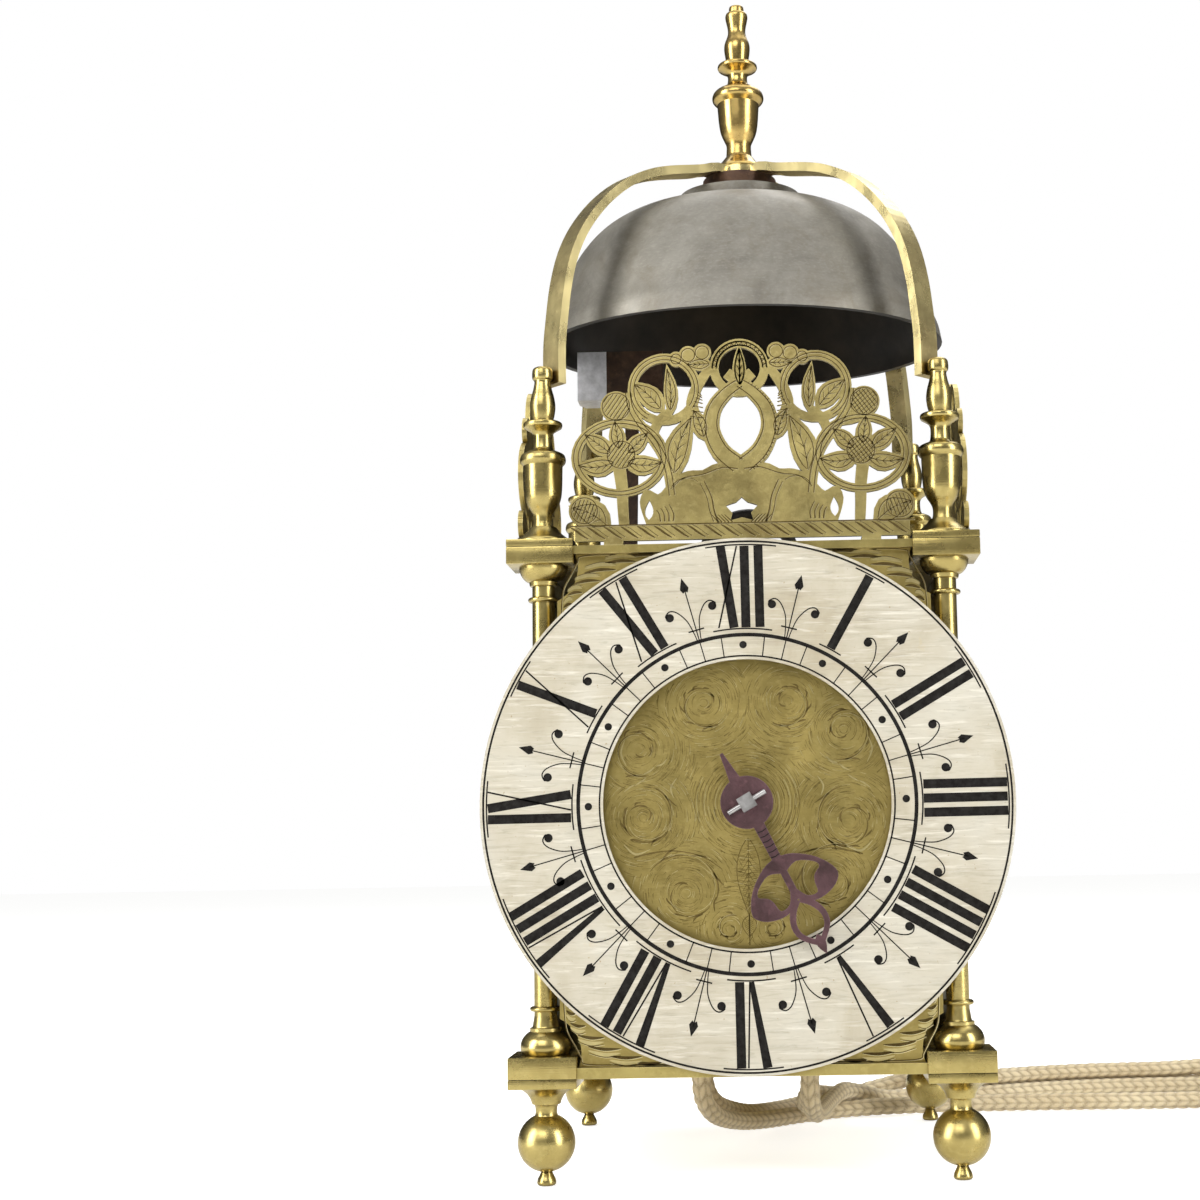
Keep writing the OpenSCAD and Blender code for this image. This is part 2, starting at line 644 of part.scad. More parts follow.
// Bell and strap. The strap's middle line runs from the centre boss out and down to a leg.
function strap_line() = concat(
    [[0, strap_low + strap_t / 2], [13.6, strap_low + strap_t / 2]],
    smooth([
        [17.2, strap_low + 0.5], [22.4, strap_low - 1.4], [36, strap_low - 5.2], [45.6, strap_low - 8.8],
        [55.4, strap_low - 14.4], [65, strap_low - 22.8], [73, strap_low - 32.8], [78.2, strap_low - 42.8],
        [81.4, strap_low - 54], [83.2, strap_low - 66], [leg_q, leg_low + 12], [leg_q, leg_low]
    ], 4)
);
module bell_strap() {
    color(brass) difference() {
        union() {
            for (a = [45:90:315]) rotate(a) rotate([90, 0, 0]) translate([0, 0, -strap_w / 2])
                linear_extrude(strap_w) band(strap_line(), strap_t, strap_t);
            translate([0, 0, strap_low]) cylinder(r = 10.5, h = strap_t);
        }
        translate([0, 0, strap_low - 5]) cylinder(r = stud_r + run_gap, h = 20);
        for (a = [45:90:315]) rotate(a) translate([leg_q - 5, 0, pin_z]) rotate([0, 90, 0])
            cylinder(r = 0.9 + run_gap, h = 10);
    }
}
module strap_pins() {
    inner = leg_q - strap_t / 2;
    color(brass) for (a = [45:90:315]) rotate(a) translate([0, 0, pin_z]) rotate([0, 90, 0]) {
        translate([0, 0, inner - 1]) cylinder(r = 1.5, h = 1);
        translate([0, 0, inner - 0.5]) cylinder(r = 0.9, h = corner_q - inner);
    }
}

// The bell's outline as [radius, height over its mouth]
function bell_outline() = [
    for (p = [[1, 0], [1, 0.03], [0.985, 0.09], [0.95, 0.2], [0.905, 0.35], [0.85, 0.5], [0.785, 0.63],
        [0.69, 0.76], [0.565, 0.86], [0.42, 0.925], [0.3, 0.957], [0.16, 0.985], [0, 1]])
        [p.x * bell_d / 2, p.y * bell_h]
];
module bell() {
    k = 1 - 2 * bell_t / bell_d;
    kz = 1 - bell_t / bell_h;
    color(steel) translate([0, 0, crown_z]) rotate([bell_lean, 0, 0]) translate([0, 0, -bell_h])
        rotate_extrude($fn = 96) difference() {
            polygon(concat([[0, 0]], bell_outline()));
            polygon(concat([[0, -1], [k * bell_d / 2, -1]], [for (p = bell_outline()) [p.x * k, p.y * kz]]));
            square([stud_r + 2 * gap, 2 * bell_h]);
        }
}
module bell_washer() {
    color([0.35, 0.2, 0.1]) difference() {
        translate([0, 0, crown_z]) cylinder(r = 13, h = washer_h);
        translate([0, 0, crown_z - 1]) cylinder(r = stud_r + run_gap, h = washer_h + 2);
    }
}
module bell_nut() {
    z = crown_z - bell_t - 4 * gap - 5;
    color(iron) difference() {
        translate([0, 0, z]) cylinder(r = 6.4, h = 5, $fn = 6);
        translate([0, 0, z - 1]) cylinder(r = stud_r + run_gap, h = 7);
    }
}
module crown_finial() {
    z = strap_top;
    top = strap_top + crown_h;
    s = 1.3;
    k = crown_h / 60.5;
    color(brass) {
        translate([0, 0, crown_z - bell_t - 8]) cylinder(r = stud_r, h = strap_top - crown_z + bell_t + 9);
        turned(concat(
            [[8.7, z], [8.7, z + 0.9], [7.4, z + 1.7], [5.4, z + 2.6], [4.4, z + 3.6]],
            [for (p = [[3.9, 4.4], [3.9, 7.8], [4.5, 8.8], [5.2, 11], [6, 14.6], [6.8, 19], [7.1, 22.6],
                [7.7, 23.2], [9.2, 24.4], [9.2, 26.4], [8.2, 27.8], [8.2, 28.6], [7.6, 29.6], [5, 30.6], [3.6, 31.6],
                [3.6, 34], [4.2, 34.8], [6.8, 36], [7.1, 37], [6.8, 38], [4.2, 38.6], [3.6, 39.6],
                [4.3, 42], [4.6, 44.4], [4.3, 46.8], [3.4, 49], [3.1, 50.6], [3.3, 52.4], [3.9, 54],
                [4.15, 55], [4.15, 56.4], [3.7, 57.8], [2.6, 58.2], [2.6, 60.2], [2.2, 60.5]])
                [p[0], z + p[1] * k]]
        ));
    }
}

// Hand, drawn along +Y and turned to its place
module hand_shape() {
    scale(hand_len / 51) {
        circle(8);
        // tail and neck
        band([[0, -6], [0, -11], [0, -16.6]], 4, 1);
        band([[0, 6], [0, 20]], 3.5, 2.9);
        for (s = [0, 1]) mirror([s, 0]) {
            // a loop that swells outwards
            difference() {
                polygon(concat([[0, 17.8]], smooth([[1.4, 18.8], [5, 19.9], [9.8, 23.2], [13.2, 27.4],
                    [14.4, 31.2], [12, 34], [8, 35.4], [4, 35.2], [0, 32.6]], 3)));
                polygon(smooth([[1.1, 23.6], [4.8, 22.4], [9, 24.6], [10.4, 26.8], [8, 28.4],
                    [6.9, 30.4], [6.2, 33.6], [3, 33], [1.1, 29.8]], 3));
            }
            // prong round the long opening
            band(smooth([[0.5, 32.8], [3.2, 35.6], [4.9, 39.4], [4.3, 43.2], [0.9, 46.8]], 3), 2.1, 1.6);
        }
        leaf([0, 44.4], [0, 51], 3);
    }
}
module hour_hand() {
    color(blued) on_arbor(hour_at, hand_back - hand_t / 2, hand_t) difference() {
        rotate(-hand_turn) offset(r = 0.25) offset(r = -0.25) hand_shape();
        rotate(30) square(arbor_square + 2 * run_gap, center = true);
    }
}
module hand_pin() {
    r0 = 0.8;
    color(steel) translate([hour_at.x, hand_front - r0, hour_at.y]) rotate([0, 60, 0])
        translate([0, 0, -6.5]) cylinder(r = r0, h = 13);
}
module hour_wheel() {
    color(pale_brass) {
        difference() {
            train_wheel(hour_at, report_y, hour_teeth, hour_m, -90, wheel_t, 7);
            rod(hour_at, report_y - 9, report_y + 9, arbor_r - 0.5);
        }
        // twelve pins that let off the strike
        for (a = [15:30:345]) rod(hour_at + 30.6 * [cos(a), sin(a)], report_y, report_y + 4.6, 0.9);
    }
    color(iron) {
        difference() {
            union() {
                rod(hour_at, panel_front - 0.4, report_y + 2, arbor_r);
                rod(hour_at, hand_back, panel_front - 0.4, arbor_r + 1.2);
                // square end, drawn across the hand's hub
                on_arbor(hour_at, (arbor_end + hand_back) / 2, hand_back - arbor_end)
                    rotate(30) square(arbor_square, center = true);
                rod(hour_at, report_y + 1, front_bar_y - bar_t / 2 - gap, 2.4);
                rod(hour_at, front_bar_y - bar_t / 2 - 1, front_bar_y - 0.2, pivot_d / 2);
            }
            // way for the taper pin
            translate([hour_at.x, hand_front - 0.8, hour_at.y]) rotate([0, 60, 0])
                translate([0, 0, -8]) cylinder(r = 0.8 + run_gap, h = 16);
        }
    }
}

// Movement bars: uprights with side arms and tongues through both plates
module bar(y, arms, holes) {
    color(brass) difference() {
        union() {
            upright(y, bar_t) union() {
                translate([-bar_w / 2, floor_z]) square([bar_w, pillar_h]);
                for (a = arms) {
                    band([[0, a.y], a], 9, 8);
                    dot(a, 4);
                }
            }
            translate([-bar_tongue / 2, y - bar_t / 2, bot_z]) cube([bar_tongue, bar_t, deck_z - bot_z]);
        }
        for (h = holes) rod(h[0], y - 5, y + 5, h[1] + run_gap);
    }
}
pivot_r = pivot_d / 2;
module front_bar() {
    bar(front_bar_y, [lift_at], [[great_at, arbor_d / 2], [second_at, pivot_r], [escape_at, pivot_r],
        [hour_at, pivot_r], [lift_at, arbor_d / 2]]);
}
module middle_bar() {
    bar(0, [lift_at, hammer_at, lock_at], [[great_at, pivot_r], [second_at, pivot_r], [escape_at, pivot_r],
        [warn_at, pivot_r], [fly_at, pivot_r], [lift_at, arbor_d / 2], [hammer_at, pivot_r], [lock_at, pivot_r]]);
}
module rear_bar() {
    bar(rear_bar_y, [lift_at, hammer_at, lock_at], [[great_at, arbor_d / 2], [second_at, pivot_r],
        [warn_at, pivot_r], [fly_at, pivot_r], [lift_at, pivot_r], [hammer_at, pivot_r],
        [lock_at, arbor_d / 2]]);
    // stud of the count wheel
    color(steel) rod(count_at, rear_bar_y, count_y + 6, 1.5);
}

// An arbor with shoulders just clear of the bars, and a pivot at each end
module arbor(at, y0, y1, r = arbor_d / 2) {
    s = bar_t / 2 + gap;
    rod(at, y0 + s, y1 - s, r);
    rod(at, y0 + 0.2, y0 + s + 0.5, pivot_r);
    rod(at, y1 - s - 0.5, y1 - 0.2, pivot_r);
}

// Grooved rope pulley, bored for its arbor
module sheave(y, r) {
    groove = rope_d / 2 + gap;
    translate([great_at.x, y, great_at.y]) rotate([90, 0, 0]) rotate_extrude() difference() {
        translate([r, -pulley_w / 2]) square([pulley_r + 3.4 - r, pulley_w]);
        translate([pulley_r, 0]) circle(groove);
        translate([pulley_r, -groove]) square([10, 2 * groove]);
    }
}

module going_great_wheel() {
    y1 = -pulley_y - pulley_w / 2 - 1.4 - wheel_t / 2;
    color(pale_brass) train_wheel(great_at, y1, great_teeth, train_m, 90, wheel_t, 8);
    color(iron) {
        rod(great_at, report_y - 4, front_bar_y - bar_t / 2, arbor_d / 2 - 0.4);
        rod(great_at, front_bar_y - bar_t, front_bar_y + bar_t / 2 + 1, arbor_d / 2);
        rod(great_at, front_bar_y + bar_t / 2 + gap, -bar_t / 2 - gap, arbor_d / 2 + 0.6);
        rod(great_at, -bar_t / 2 - gap - 1, -0.2, pivot_r);
        on_arbor(great_at, report_y, 4.4) pinion_shape(leaves, hour_m, 90 + 180 / leaves);
    }
}
module going_pulley() {
    color(brass) sheave(-pulley_y, arbor_d / 2 + 0.6 + run_gap);
}
module second_wheel() {
    color(pale_brass) train_wheel(second_at, second_y, second_teeth, train_m, 90);
    color(iron) {
        arbor(second_at, front_bar_y, 0);
        on_arbor(second_at, -20.9, 6) pinion_shape(leaves, train_m, -90 + 180 / leaves);
    }
}
// Escape wheel: thin raked teeth, with the steep side leading
module escape_wheel() {
    color(pale_brass) on_arbor(escape_at, escape_y, wheel_t * 0.8) difference() {
        polygon([for (i = [0:escape_teeth - 1]) let (a = 90.35 + 360 * i / escape_teeth) each [
            (escape_r - 4.6) * [cos(a - 4.6), sin(a - 4.6)],
            (escape_r - 0.05) * [cos(a - 0.5), sin(a - 0.5)],
            escape_r * [cos(a + 0.5), sin(a + 0.5)],
            (escape_r - 4.8) * [cos(a + 1.8), sin(a + 1.8)]
        ]]);
        crossings(5, escape_r - 8, 2.6);
    }
    color(iron) {
        arbor(escape_at, front_bar_y, 0);
        on_arbor(escape_at, second_y, 5) pinion_shape(leaves, train_m, -90 + 180 / leaves);
    }
}

// Anchor with its arbor, and the crutch behind the back plate
crutch_y = edge + 2.2;
cock_r = 4.4;
cock_front = -44.5;
cock_rear = 54;
module anchor() {
    pallet_r = escape_r * tan(verge_span);
    // the nibs stay just outside the wheel at mid swing
    a = 0.6 - verge_span;
    function polar(r, t) = r * [cos(t), sin(t)];
    color(iron) {
        rod(verge_at, cock_front - 1.3, cock_front + bar_t / 2 + 1, pivot_r);
        rod(verge_at, cock_front + bar_t / 2 + gap, crutch_y + 1.4, 1.7);
        on_arbor(verge_at, escape_y, 5) {
            circle(4.4);
            for (s = [0, 1]) mirror([s, 0]) {
                polygon(concat(
                    [polar(pallet_r - 0.5, a)],
                    [polar(pallet_r + 0.5, a)],
                    [polar(pallet_r + 2.2, -33), polar(pallet_r - 2.4, -33)]
                ));
                band([[0, 0], polar(pallet_r * 0.6, -30), polar(pallet_r, -34)], 6, 4);
            }
        }
        on_arbor(verge_at, crutch_y, 1.5) {
            circle(3.6);
            band([[0, 0], [0, -45]], 3.4, 2.4);
            for (s = [-1, 1]) band([[0, -43], [s * 3, -45.5], [s * 3, -51]], 2, 1.6);
        }
    }
}

module anchor_cocks() {
    color(brass) for (y = [cock_front, cock_rear]) difference() {
        union() {
            upright(y, 3) {
                intersection() {
                    dot(verge_at, cock_r);
                    translate([-cock_r, deck_z]) square([2 * cock_r, verge_at.y - deck_z + cock_r]);
                }
                translate([-cock_r, deck_z]) square([2 * cock_r, verge_at.y - deck_z]);
            }
            translate([-cock_r, y - 1.5, deck_z]) cube([2 * cock_r, 11, 1.6]);
        }
        rod(verge_at, y - 5, y + 5, (y < 0 ? pivot_r : 1.7) + run_gap);
    }
}

module strike_great_wheel() {
    y1 = pulley_y + pulley_w / 2 + 1.4 + wheel_t / 2;
    color(pale_brass) train_wheel(great_at, y1, great_teeth, train_m, 90, wheel_t, 8, 5.6);
    color(iron) {
        rod(great_at, 0.2, bar_t / 2 + gap + 1, pivot_r);
        rod(great_at, bar_t / 2 + gap, rear_bar_y - bar_t / 2 - gap, arbor_d / 2 + 0.6);
        rod(great_at, rear_bar_y - bar_t / 2 - 1, count_y + 2, arbor_d / 2);
        on_arbor(great_at, count_y, 4) pinion_shape(count_leaves, count_m, 90 + 180 / count_leaves);
        // ten pins that lift the hammer
        for (a = [0:36:324]) rod(great_at + 33 * [cos(a + 18), sin(a + 18)], y1, y1 + 6, 1.1);
    }
}
module strike_pulley() {
    color(brass) sheave(pulley_y, arbor_d / 2 + 0.6 + run_gap);
}
// Round spring on the side of the strike pulley whose bent end catches the wheel's spokes
module strike_click() {
    y = pulley_y + pulley_w / 2;
    color(iron) {
        on_arbor(great_at, y + 0.5, 1) difference() {
            circle(14);
            circle(12.4);
            rotate(45) translate([0, -3]) square([20, 3]);
        }
        on_arbor(great_at, y + 0.6, 1.2) rotate(48) translate([12.4, -1]) square([2.4, 2]);
        rod(great_at + [-13.2, 0], y, y + 1.2, 2);
    }
}
module hoop_wheel() {
    color(pale_brass) train_wheel(second_at, hoop_y, hoop_teeth, hoop_m, 90);
    color(iron) {
        arbor(second_at, 0, rear_bar_y);
        on_arbor(second_at, 20.9, 6) pinion_shape(leaves, train_m, -90 + 180 / leaves);
        // hoop with its gap
        difference() {
            on_arbor(second_at, hoop_y - 3.4, 5) difference() {
                circle(16);
                circle(14.8);
                rotate(60) translate([10, -3]) square([10, 6]);
            }
        }
    }
}
module warning_wheel() {
    color(pale_brass) {
        train_wheel(warn_at, warn_y, warn_teeth, warn_m, 90, wheel_t, 5);
        rod(warn_at + [14, 0], warn_y - 4, warn_y, 0.8);
    }
    color(iron) {
        arbor(warn_at, 0, rear_bar_y);
        on_arbor(warn_at, hoop_y, 5) pinion_shape(leaves, hoop_m, -90 + 180 / leaves);
    }
}
module fly() {
    color(iron) {
        arbor(fly_at, 0, rear_bar_y, arbor_d / 2 - 0.4);
        on_arbor(fly_at, warn_y, 5) pinion_shape(leaves, warn_m, -90 + 180 / leaves);
    }
    color(brass) on_arbor(fly_at, fly_y, 12) {
        difference() {
            union() {
                translate([-14, -0.5]) square([28, 1]);
                circle(3);
            }
            circle(arbor_d / 2 - 0.5);
        }
    }
}
// Count wheel: a toothed disc with a notched rim; the spaces grow from one blow to twelve
module count_wheel() {
    blows = [for (h = [1:12]) h * (h - 1) / 2];
    disc_y = count_y + 4.2;
    color(pale_brass) difference() {
        union() {
            train_wheel(count_at, count_y, count_teeth, count_m, -90);
            on_arbor(count_at, disc_y, 1.6) difference() {
                circle(31);
                for (b = blows) rotate(55 - b * 360 / 78) translate([26, -1.6]) square([8, 3.2]);
                crossings(7, 22, 3);
            }
            rod(count_at, count_y, disc_y, 5.4);
        }
        rod(count_at, count_y - 5, disc_y + 5, 1.5 + run_gap);
    }
}

// Hammer: pivoted arbor, arm up through the top plate, tail to the lifting pins, iron head
head_low = deck_z + 68.6;
head_high = deck_z + 86.6;
module hammer() {
    color(iron) {
        arbor(hammer_at, 0, rear_bar_y, 2.2);
        upright(hammer_y, 4) {
            band([hammer_at, [-43, deck_z], [-41, head_low + 2]], 6, 4.6);
            dot(hammer_at, 4.6);
        }
        upright(hammer_y + 0.6, 2.4) band([hammer_at, hammer_at + [13.6, -20.4]], 4.4, 2.6);
        intersection() {
            translate([-60.6, hammer_y - 6, head_low]) cube([31, 12, head_high - head_low]);
            translate([0, 0, head_low]) cylinder(r = bell_d / 2 - bell_t - 1.6, h = head_high - head_low);
        }
    }
}
spring_x = -58;
// Leaf spring that returns the hammer, with its foot in the bottom plate
module hammer_spring() {
    color(iron) {
        translate([spring_x, hammer_y, bot_z + 0.2]) cylinder(r = 1.5, h = bottom_plate_t + 0.8);
        translate([spring_x - 4, hammer_y - 4, floor_z]) cube([8, 8, 1.6]);
        upright(hammer_y, 5) band(smooth([[spring_x, floor_z + 1], [spring_x + 0.6, floor_z + 22],
            [spring_x + 3.4, floor_z + 48], [spring_x + 5.4, hammer_at.y - 1]], 4), 1.6, 0.9);
    }
}
module lifting_piece() {
    color(iron) {
        rod(lift_at, report_y + 2, front_bar_y - 1, arbor_d / 2);
        rod(lift_at, front_bar_y - 2, rear_bar_y - bar_t / 2 - gap, arbor_d / 2);
        rod(lift_at, rear_bar_y - bar_t / 2 - gap - 1, rear_bar_y - 0.2, pivot_r);
        upright(report_y + 3.4, 1.6) link(lift_at, hour_at + 34 * [cos(192), sin(192)], 3.4);
        upright(43, 2) link(lift_at, warn_at + [-21, -24], 3);
    }
}
module locking_detent() {
    color(iron) {
        rod(lock_at, 0.2, bar_t / 2 + gap + 1, pivot_r);
        rod(lock_at, bar_t / 2 + gap, count_y + 6.4, arbor_d / 2);
        upright(hoop_y - 6, 1.6) link(lock_at, second_at + [19.4, 3.6], 3);
        upright(count_y + 4.2, 1.6) {
            link(lock_at, count_at + 38 * [cos(28), sin(28)], 3);
            link(count_at + 38 * [cos(28), sin(28)], count_at + 38 * [cos(55), sin(55)], 3);
            link(count_at + 38 * [cos(55), sin(55)], count_at + 32.6 * [cos(55), sin(55)], 2.4);
        }
    }
}

// Rope
module tube(pts, r, sides) {
    n = len(pts);
    ways = [for (i = [0:n - 1]) i == 0 ? unit(pts[1] - pts[0]) : i == n - 1 ? unit(pts[i] - pts[i - 1])
        : unit(unit(pts[i + 1] - pts[i]) + unit(pts[i] - pts[i - 1]))];
    sides_u = [for (i = 0, u = unit(cross(ways[0], [0.3, 1, 0.2])); i < n;
        i = i + 1, u = i < n ? unit(u - ways[i] * (u * ways[i])) : u) u];
    rings = [for (i = [0:n - 1]) let (u = sides_u[i], v = cross(ways[i], u))
        [for (k = [0:sides - 1]) let (a = 360 * k / sides) pts[i] + r * (cos(a) * u + sin(a) * v)]];
    points = [for (g = rings) each g];
    faces = concat(
        [[for (k = [sides - 1:-1:0]) k]],
        [for (i = [0:n - 2], k = [0:sides - 1]) let (a = i * sides + k, b = i * sides + (k + 1) % sides)
            each [[a, b, b + sides], [a, b + sides, a + sides]]],
        [[for (k = [0:sides - 1]) (n - 1) * sides + k]]
    );
    polyhedron(points, [for (f = faces) [for (i = [len(f) - 1:-1:0]) f[i]]], convexity = 10);
}
module rope_on_pulleys() {
    color(cotton) for (y = [-pulley_y, pulley_y]) translate([great_at.x, y, 0]) {
        translate([0, 0, great_at.y]) rotate([90, 0, 0]) rotate_extrude(angle = 180)
            translate([pulley_r, 0]) circle(rope_d / 2);
        for (s = [-1, 1]) translate([s * pulley_r, 0, bot_z]) cylinder(r = rope_d / 2, h = great_at.y - bot_z);
    }
}
module rope_front_lead() { color(cotton) tube(lead_front, rope_d / 2, 8); }
module rope_rear_lead() { color(cotton) tube(lead_rear, rope_d / 2, 8); }
module rope_right_loop() { color(cotton) tube(loop_right, rope_d / 2, 8); }

// Spare coil: one length that spirals in on the floor and out again on top of itself
coil_turn = 360 * 2 * coil_turns - (coil_end - coil_start);
function coil_point(s) =
    let (
        a = coil_start - coil_turn * s,
        from_middle = abs(s - 0.5) * coil_turn / 360,
        r = coil_r - rope_pitch * (coil_turn / 720 - from_middle),
        climb = max(0, min(1, (s - 0.5) * coil_turn / 180 + 0.5)),
        z = coil_low + (coil_high - coil_low) * (3 - 2 * climb) * climb * climb
    )
    [coil_at.x + r * cos(a), coil_at.y + r * sin(a), z];
function coil_path(per_turn = 24) =
    let (
        n = ceil(coil_turn / 360 * per_turn),
        turns = [for (i = [0:n]) coil_point(i / n)],
        a = [sin(coil_start), -cos(coil_start), 0],
        b = [sin(coil_end), -cos(coil_end), 0]
    )
    concat([turns[0] - rope_d * a], turns, [turns[n] + rope_d * b]);
function least_gap(p, skip) = min([
    for (i = [0:len(p) - 1 - skip], j = [i + skip:len(p) - 1]) norm(p[i] - p[j])
]) - rope_d;
echo(coil_gap = least_gap(coil_path(), 12));
module rope_coil() { color(cotton) tube(coil_path(), rope_d / 2, 6); }

bottom_plate();
top_plate();
for (c = corners) translate([c[1] * half, c[2] * half, 0]) color(brass) pillar();
for (c = corners) translate([c[1] * half, c[2] * half, 0]) color(brass) foot();
for (c = corners) translate([c[1] * half, c[2] * half, 0]) color(brass) finial(atan2(c[2], c[1]));
bell_strap();
strap_pins();
bell_washer();
bell();
bell_nut();
crown_finial();
front_fret();
left_fret();
right_fret();
fret_screws();
dial_plate();
chapter_ring();
ring_feet();
hour_hand();
hand_pin();
back_plate();
hanging_hoop();
wall_spurs();
left_door();
right_door();
front_bar();
middle_bar();
rear_bar();
going_great_wheel();
going_pulley();
second_wheel();
escape_wheel();
anchor();
anchor_cocks();
hour_wheel();
strike_great_wheel();
strike_pulley();
strike_click();
hoop_wheel();
warning_wheel();
fly();
count_wheel();
hammer();
hammer_spring();
lifting_piece();
locking_detent();
rope_on_pulleys();
rope_front_lead();
rope_rear_lead();
rope_right_loop();
rope_coil();
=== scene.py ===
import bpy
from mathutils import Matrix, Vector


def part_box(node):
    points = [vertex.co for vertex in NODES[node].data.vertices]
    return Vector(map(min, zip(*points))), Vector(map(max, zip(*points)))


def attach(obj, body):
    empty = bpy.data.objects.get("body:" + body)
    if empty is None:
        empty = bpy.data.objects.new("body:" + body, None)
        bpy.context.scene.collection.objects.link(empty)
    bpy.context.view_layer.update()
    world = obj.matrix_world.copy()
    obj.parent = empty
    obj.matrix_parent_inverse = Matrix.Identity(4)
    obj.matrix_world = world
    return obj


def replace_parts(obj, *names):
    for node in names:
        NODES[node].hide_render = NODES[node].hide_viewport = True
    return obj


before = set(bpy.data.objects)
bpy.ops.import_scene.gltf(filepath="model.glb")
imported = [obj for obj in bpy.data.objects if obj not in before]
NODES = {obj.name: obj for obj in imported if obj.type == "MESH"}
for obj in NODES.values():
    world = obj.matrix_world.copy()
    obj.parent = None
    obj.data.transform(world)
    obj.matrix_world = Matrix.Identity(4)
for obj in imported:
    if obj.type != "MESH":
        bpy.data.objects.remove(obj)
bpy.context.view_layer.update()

import math
import random

import bmesh
import bpy
import numpy as np
from mathutils import Matrix, Vector

MM = 0.001
scene = bpy.context.scene
rnd = random.Random(7)

# Camera at the photograph's place: turn in degrees, place in millimetres, lens, shift
CAMERA_TURN = (-1.2, 6.93, -1.03)
CAMERA_AT = (10.26, -643.86, 98.73)
CAMERA_LENS = 56.04
CAMERA_SHIFT = (-0.1153, 0.0217)
yaw, pitch, roll = (math.radians(a) for a in CAMERA_TURN)
ahead = Vector((math.sin(yaw), math.cos(yaw), 0))
right = Vector((math.cos(yaw), -math.sin(yaw), 0))
up = Vector((0, 0, 1))
look = ahead * math.cos(pitch) + up * math.sin(pitch)
over = up * math.cos(pitch) - ahead * math.sin(pitch)
side = right * math.cos(roll) + over * math.sin(roll)
top = over * math.cos(roll) - right * math.sin(roll)
cam = bpy.data.objects.new("camera", bpy.data.cameras.new("camera"))
scene.collection.objects.link(cam)
stand = Matrix((side, top, -look)).transposed().to_4x4()
stand.translation = Vector(CAMERA_AT) * MM
cam.matrix_world = stand
cam.data.sensor_width = 36
cam.data.lens = CAMERA_LENS
cam.data.shift_x, cam.data.shift_y = CAMERA_SHIFT
cam.data.clip_start = 0.01
scene.camera = cam


# Lines of points, in millimetres
def smooth(pts, k=6):
    """A curve through the points, with k steps from each to the next"""
    out = []
    n = len(pts)
    P = [np.array(p, float) for p in pts]
    for i in range(n - 1):
        a, b, c, d = P[max(i - 1, 0)], P[i], P[i + 1], P[min(i + 2, n - 1)]
        for j in range(k):
            t = j / k
            out.append(0.5 * (2 * b + (c - a) * t + (2 * a - 5 * b + 4 * c - d) * t * t
                              + (3 * b - a - 3 * c + d) * t ** 3))
    out.append(P[-1])
    return out


def resample(pts, step):
    """Points at even steps along a line, and the line's length"""
    P = np.array(pts, float)
    d = np.concatenate([[0], np.cumsum(np.linalg.norm(np.diff(P, axis=0), axis=1))])
    n = max(2, int(round(d[-1] / step)) + 1)
    s = np.linspace(0, d[-1], n)
    return np.stack([np.interp(s, d, P[:, k]) for k in range(P.shape[1])], 1), d[-1]


def polar(c, r, deg):
    a = math.radians(deg)
    return (c[0] + r * math.cos(a), c[1] + r * math.sin(a))


def turn(p, deg):
    """A point turned about the origin"""
    a = math.radians(deg)
    return (p[0] * math.cos(a) - p[1] * math.sin(a), p[0] * math.sin(a) + p[1] * math.cos(a))


def mirror(s, pts):
    """The points for s = 1, their mirror image for s = -1"""
    return [(s * x, z) for x, z in pts]


# Materials
STEEL = (0.52, 0.51, 0.50)
STEEL_DARK = (0.30, 0.29, 0.28)
CASE = (0.47, 0.38, 0.135)
CASE_DARK = (0.27, 0.20, 0.06)
PALE = (0.72, 0.62, 0.30)
MOVEMENT = (0.56, 0.45, 0.18)
LATHE = (0.2, 0.2, 22)


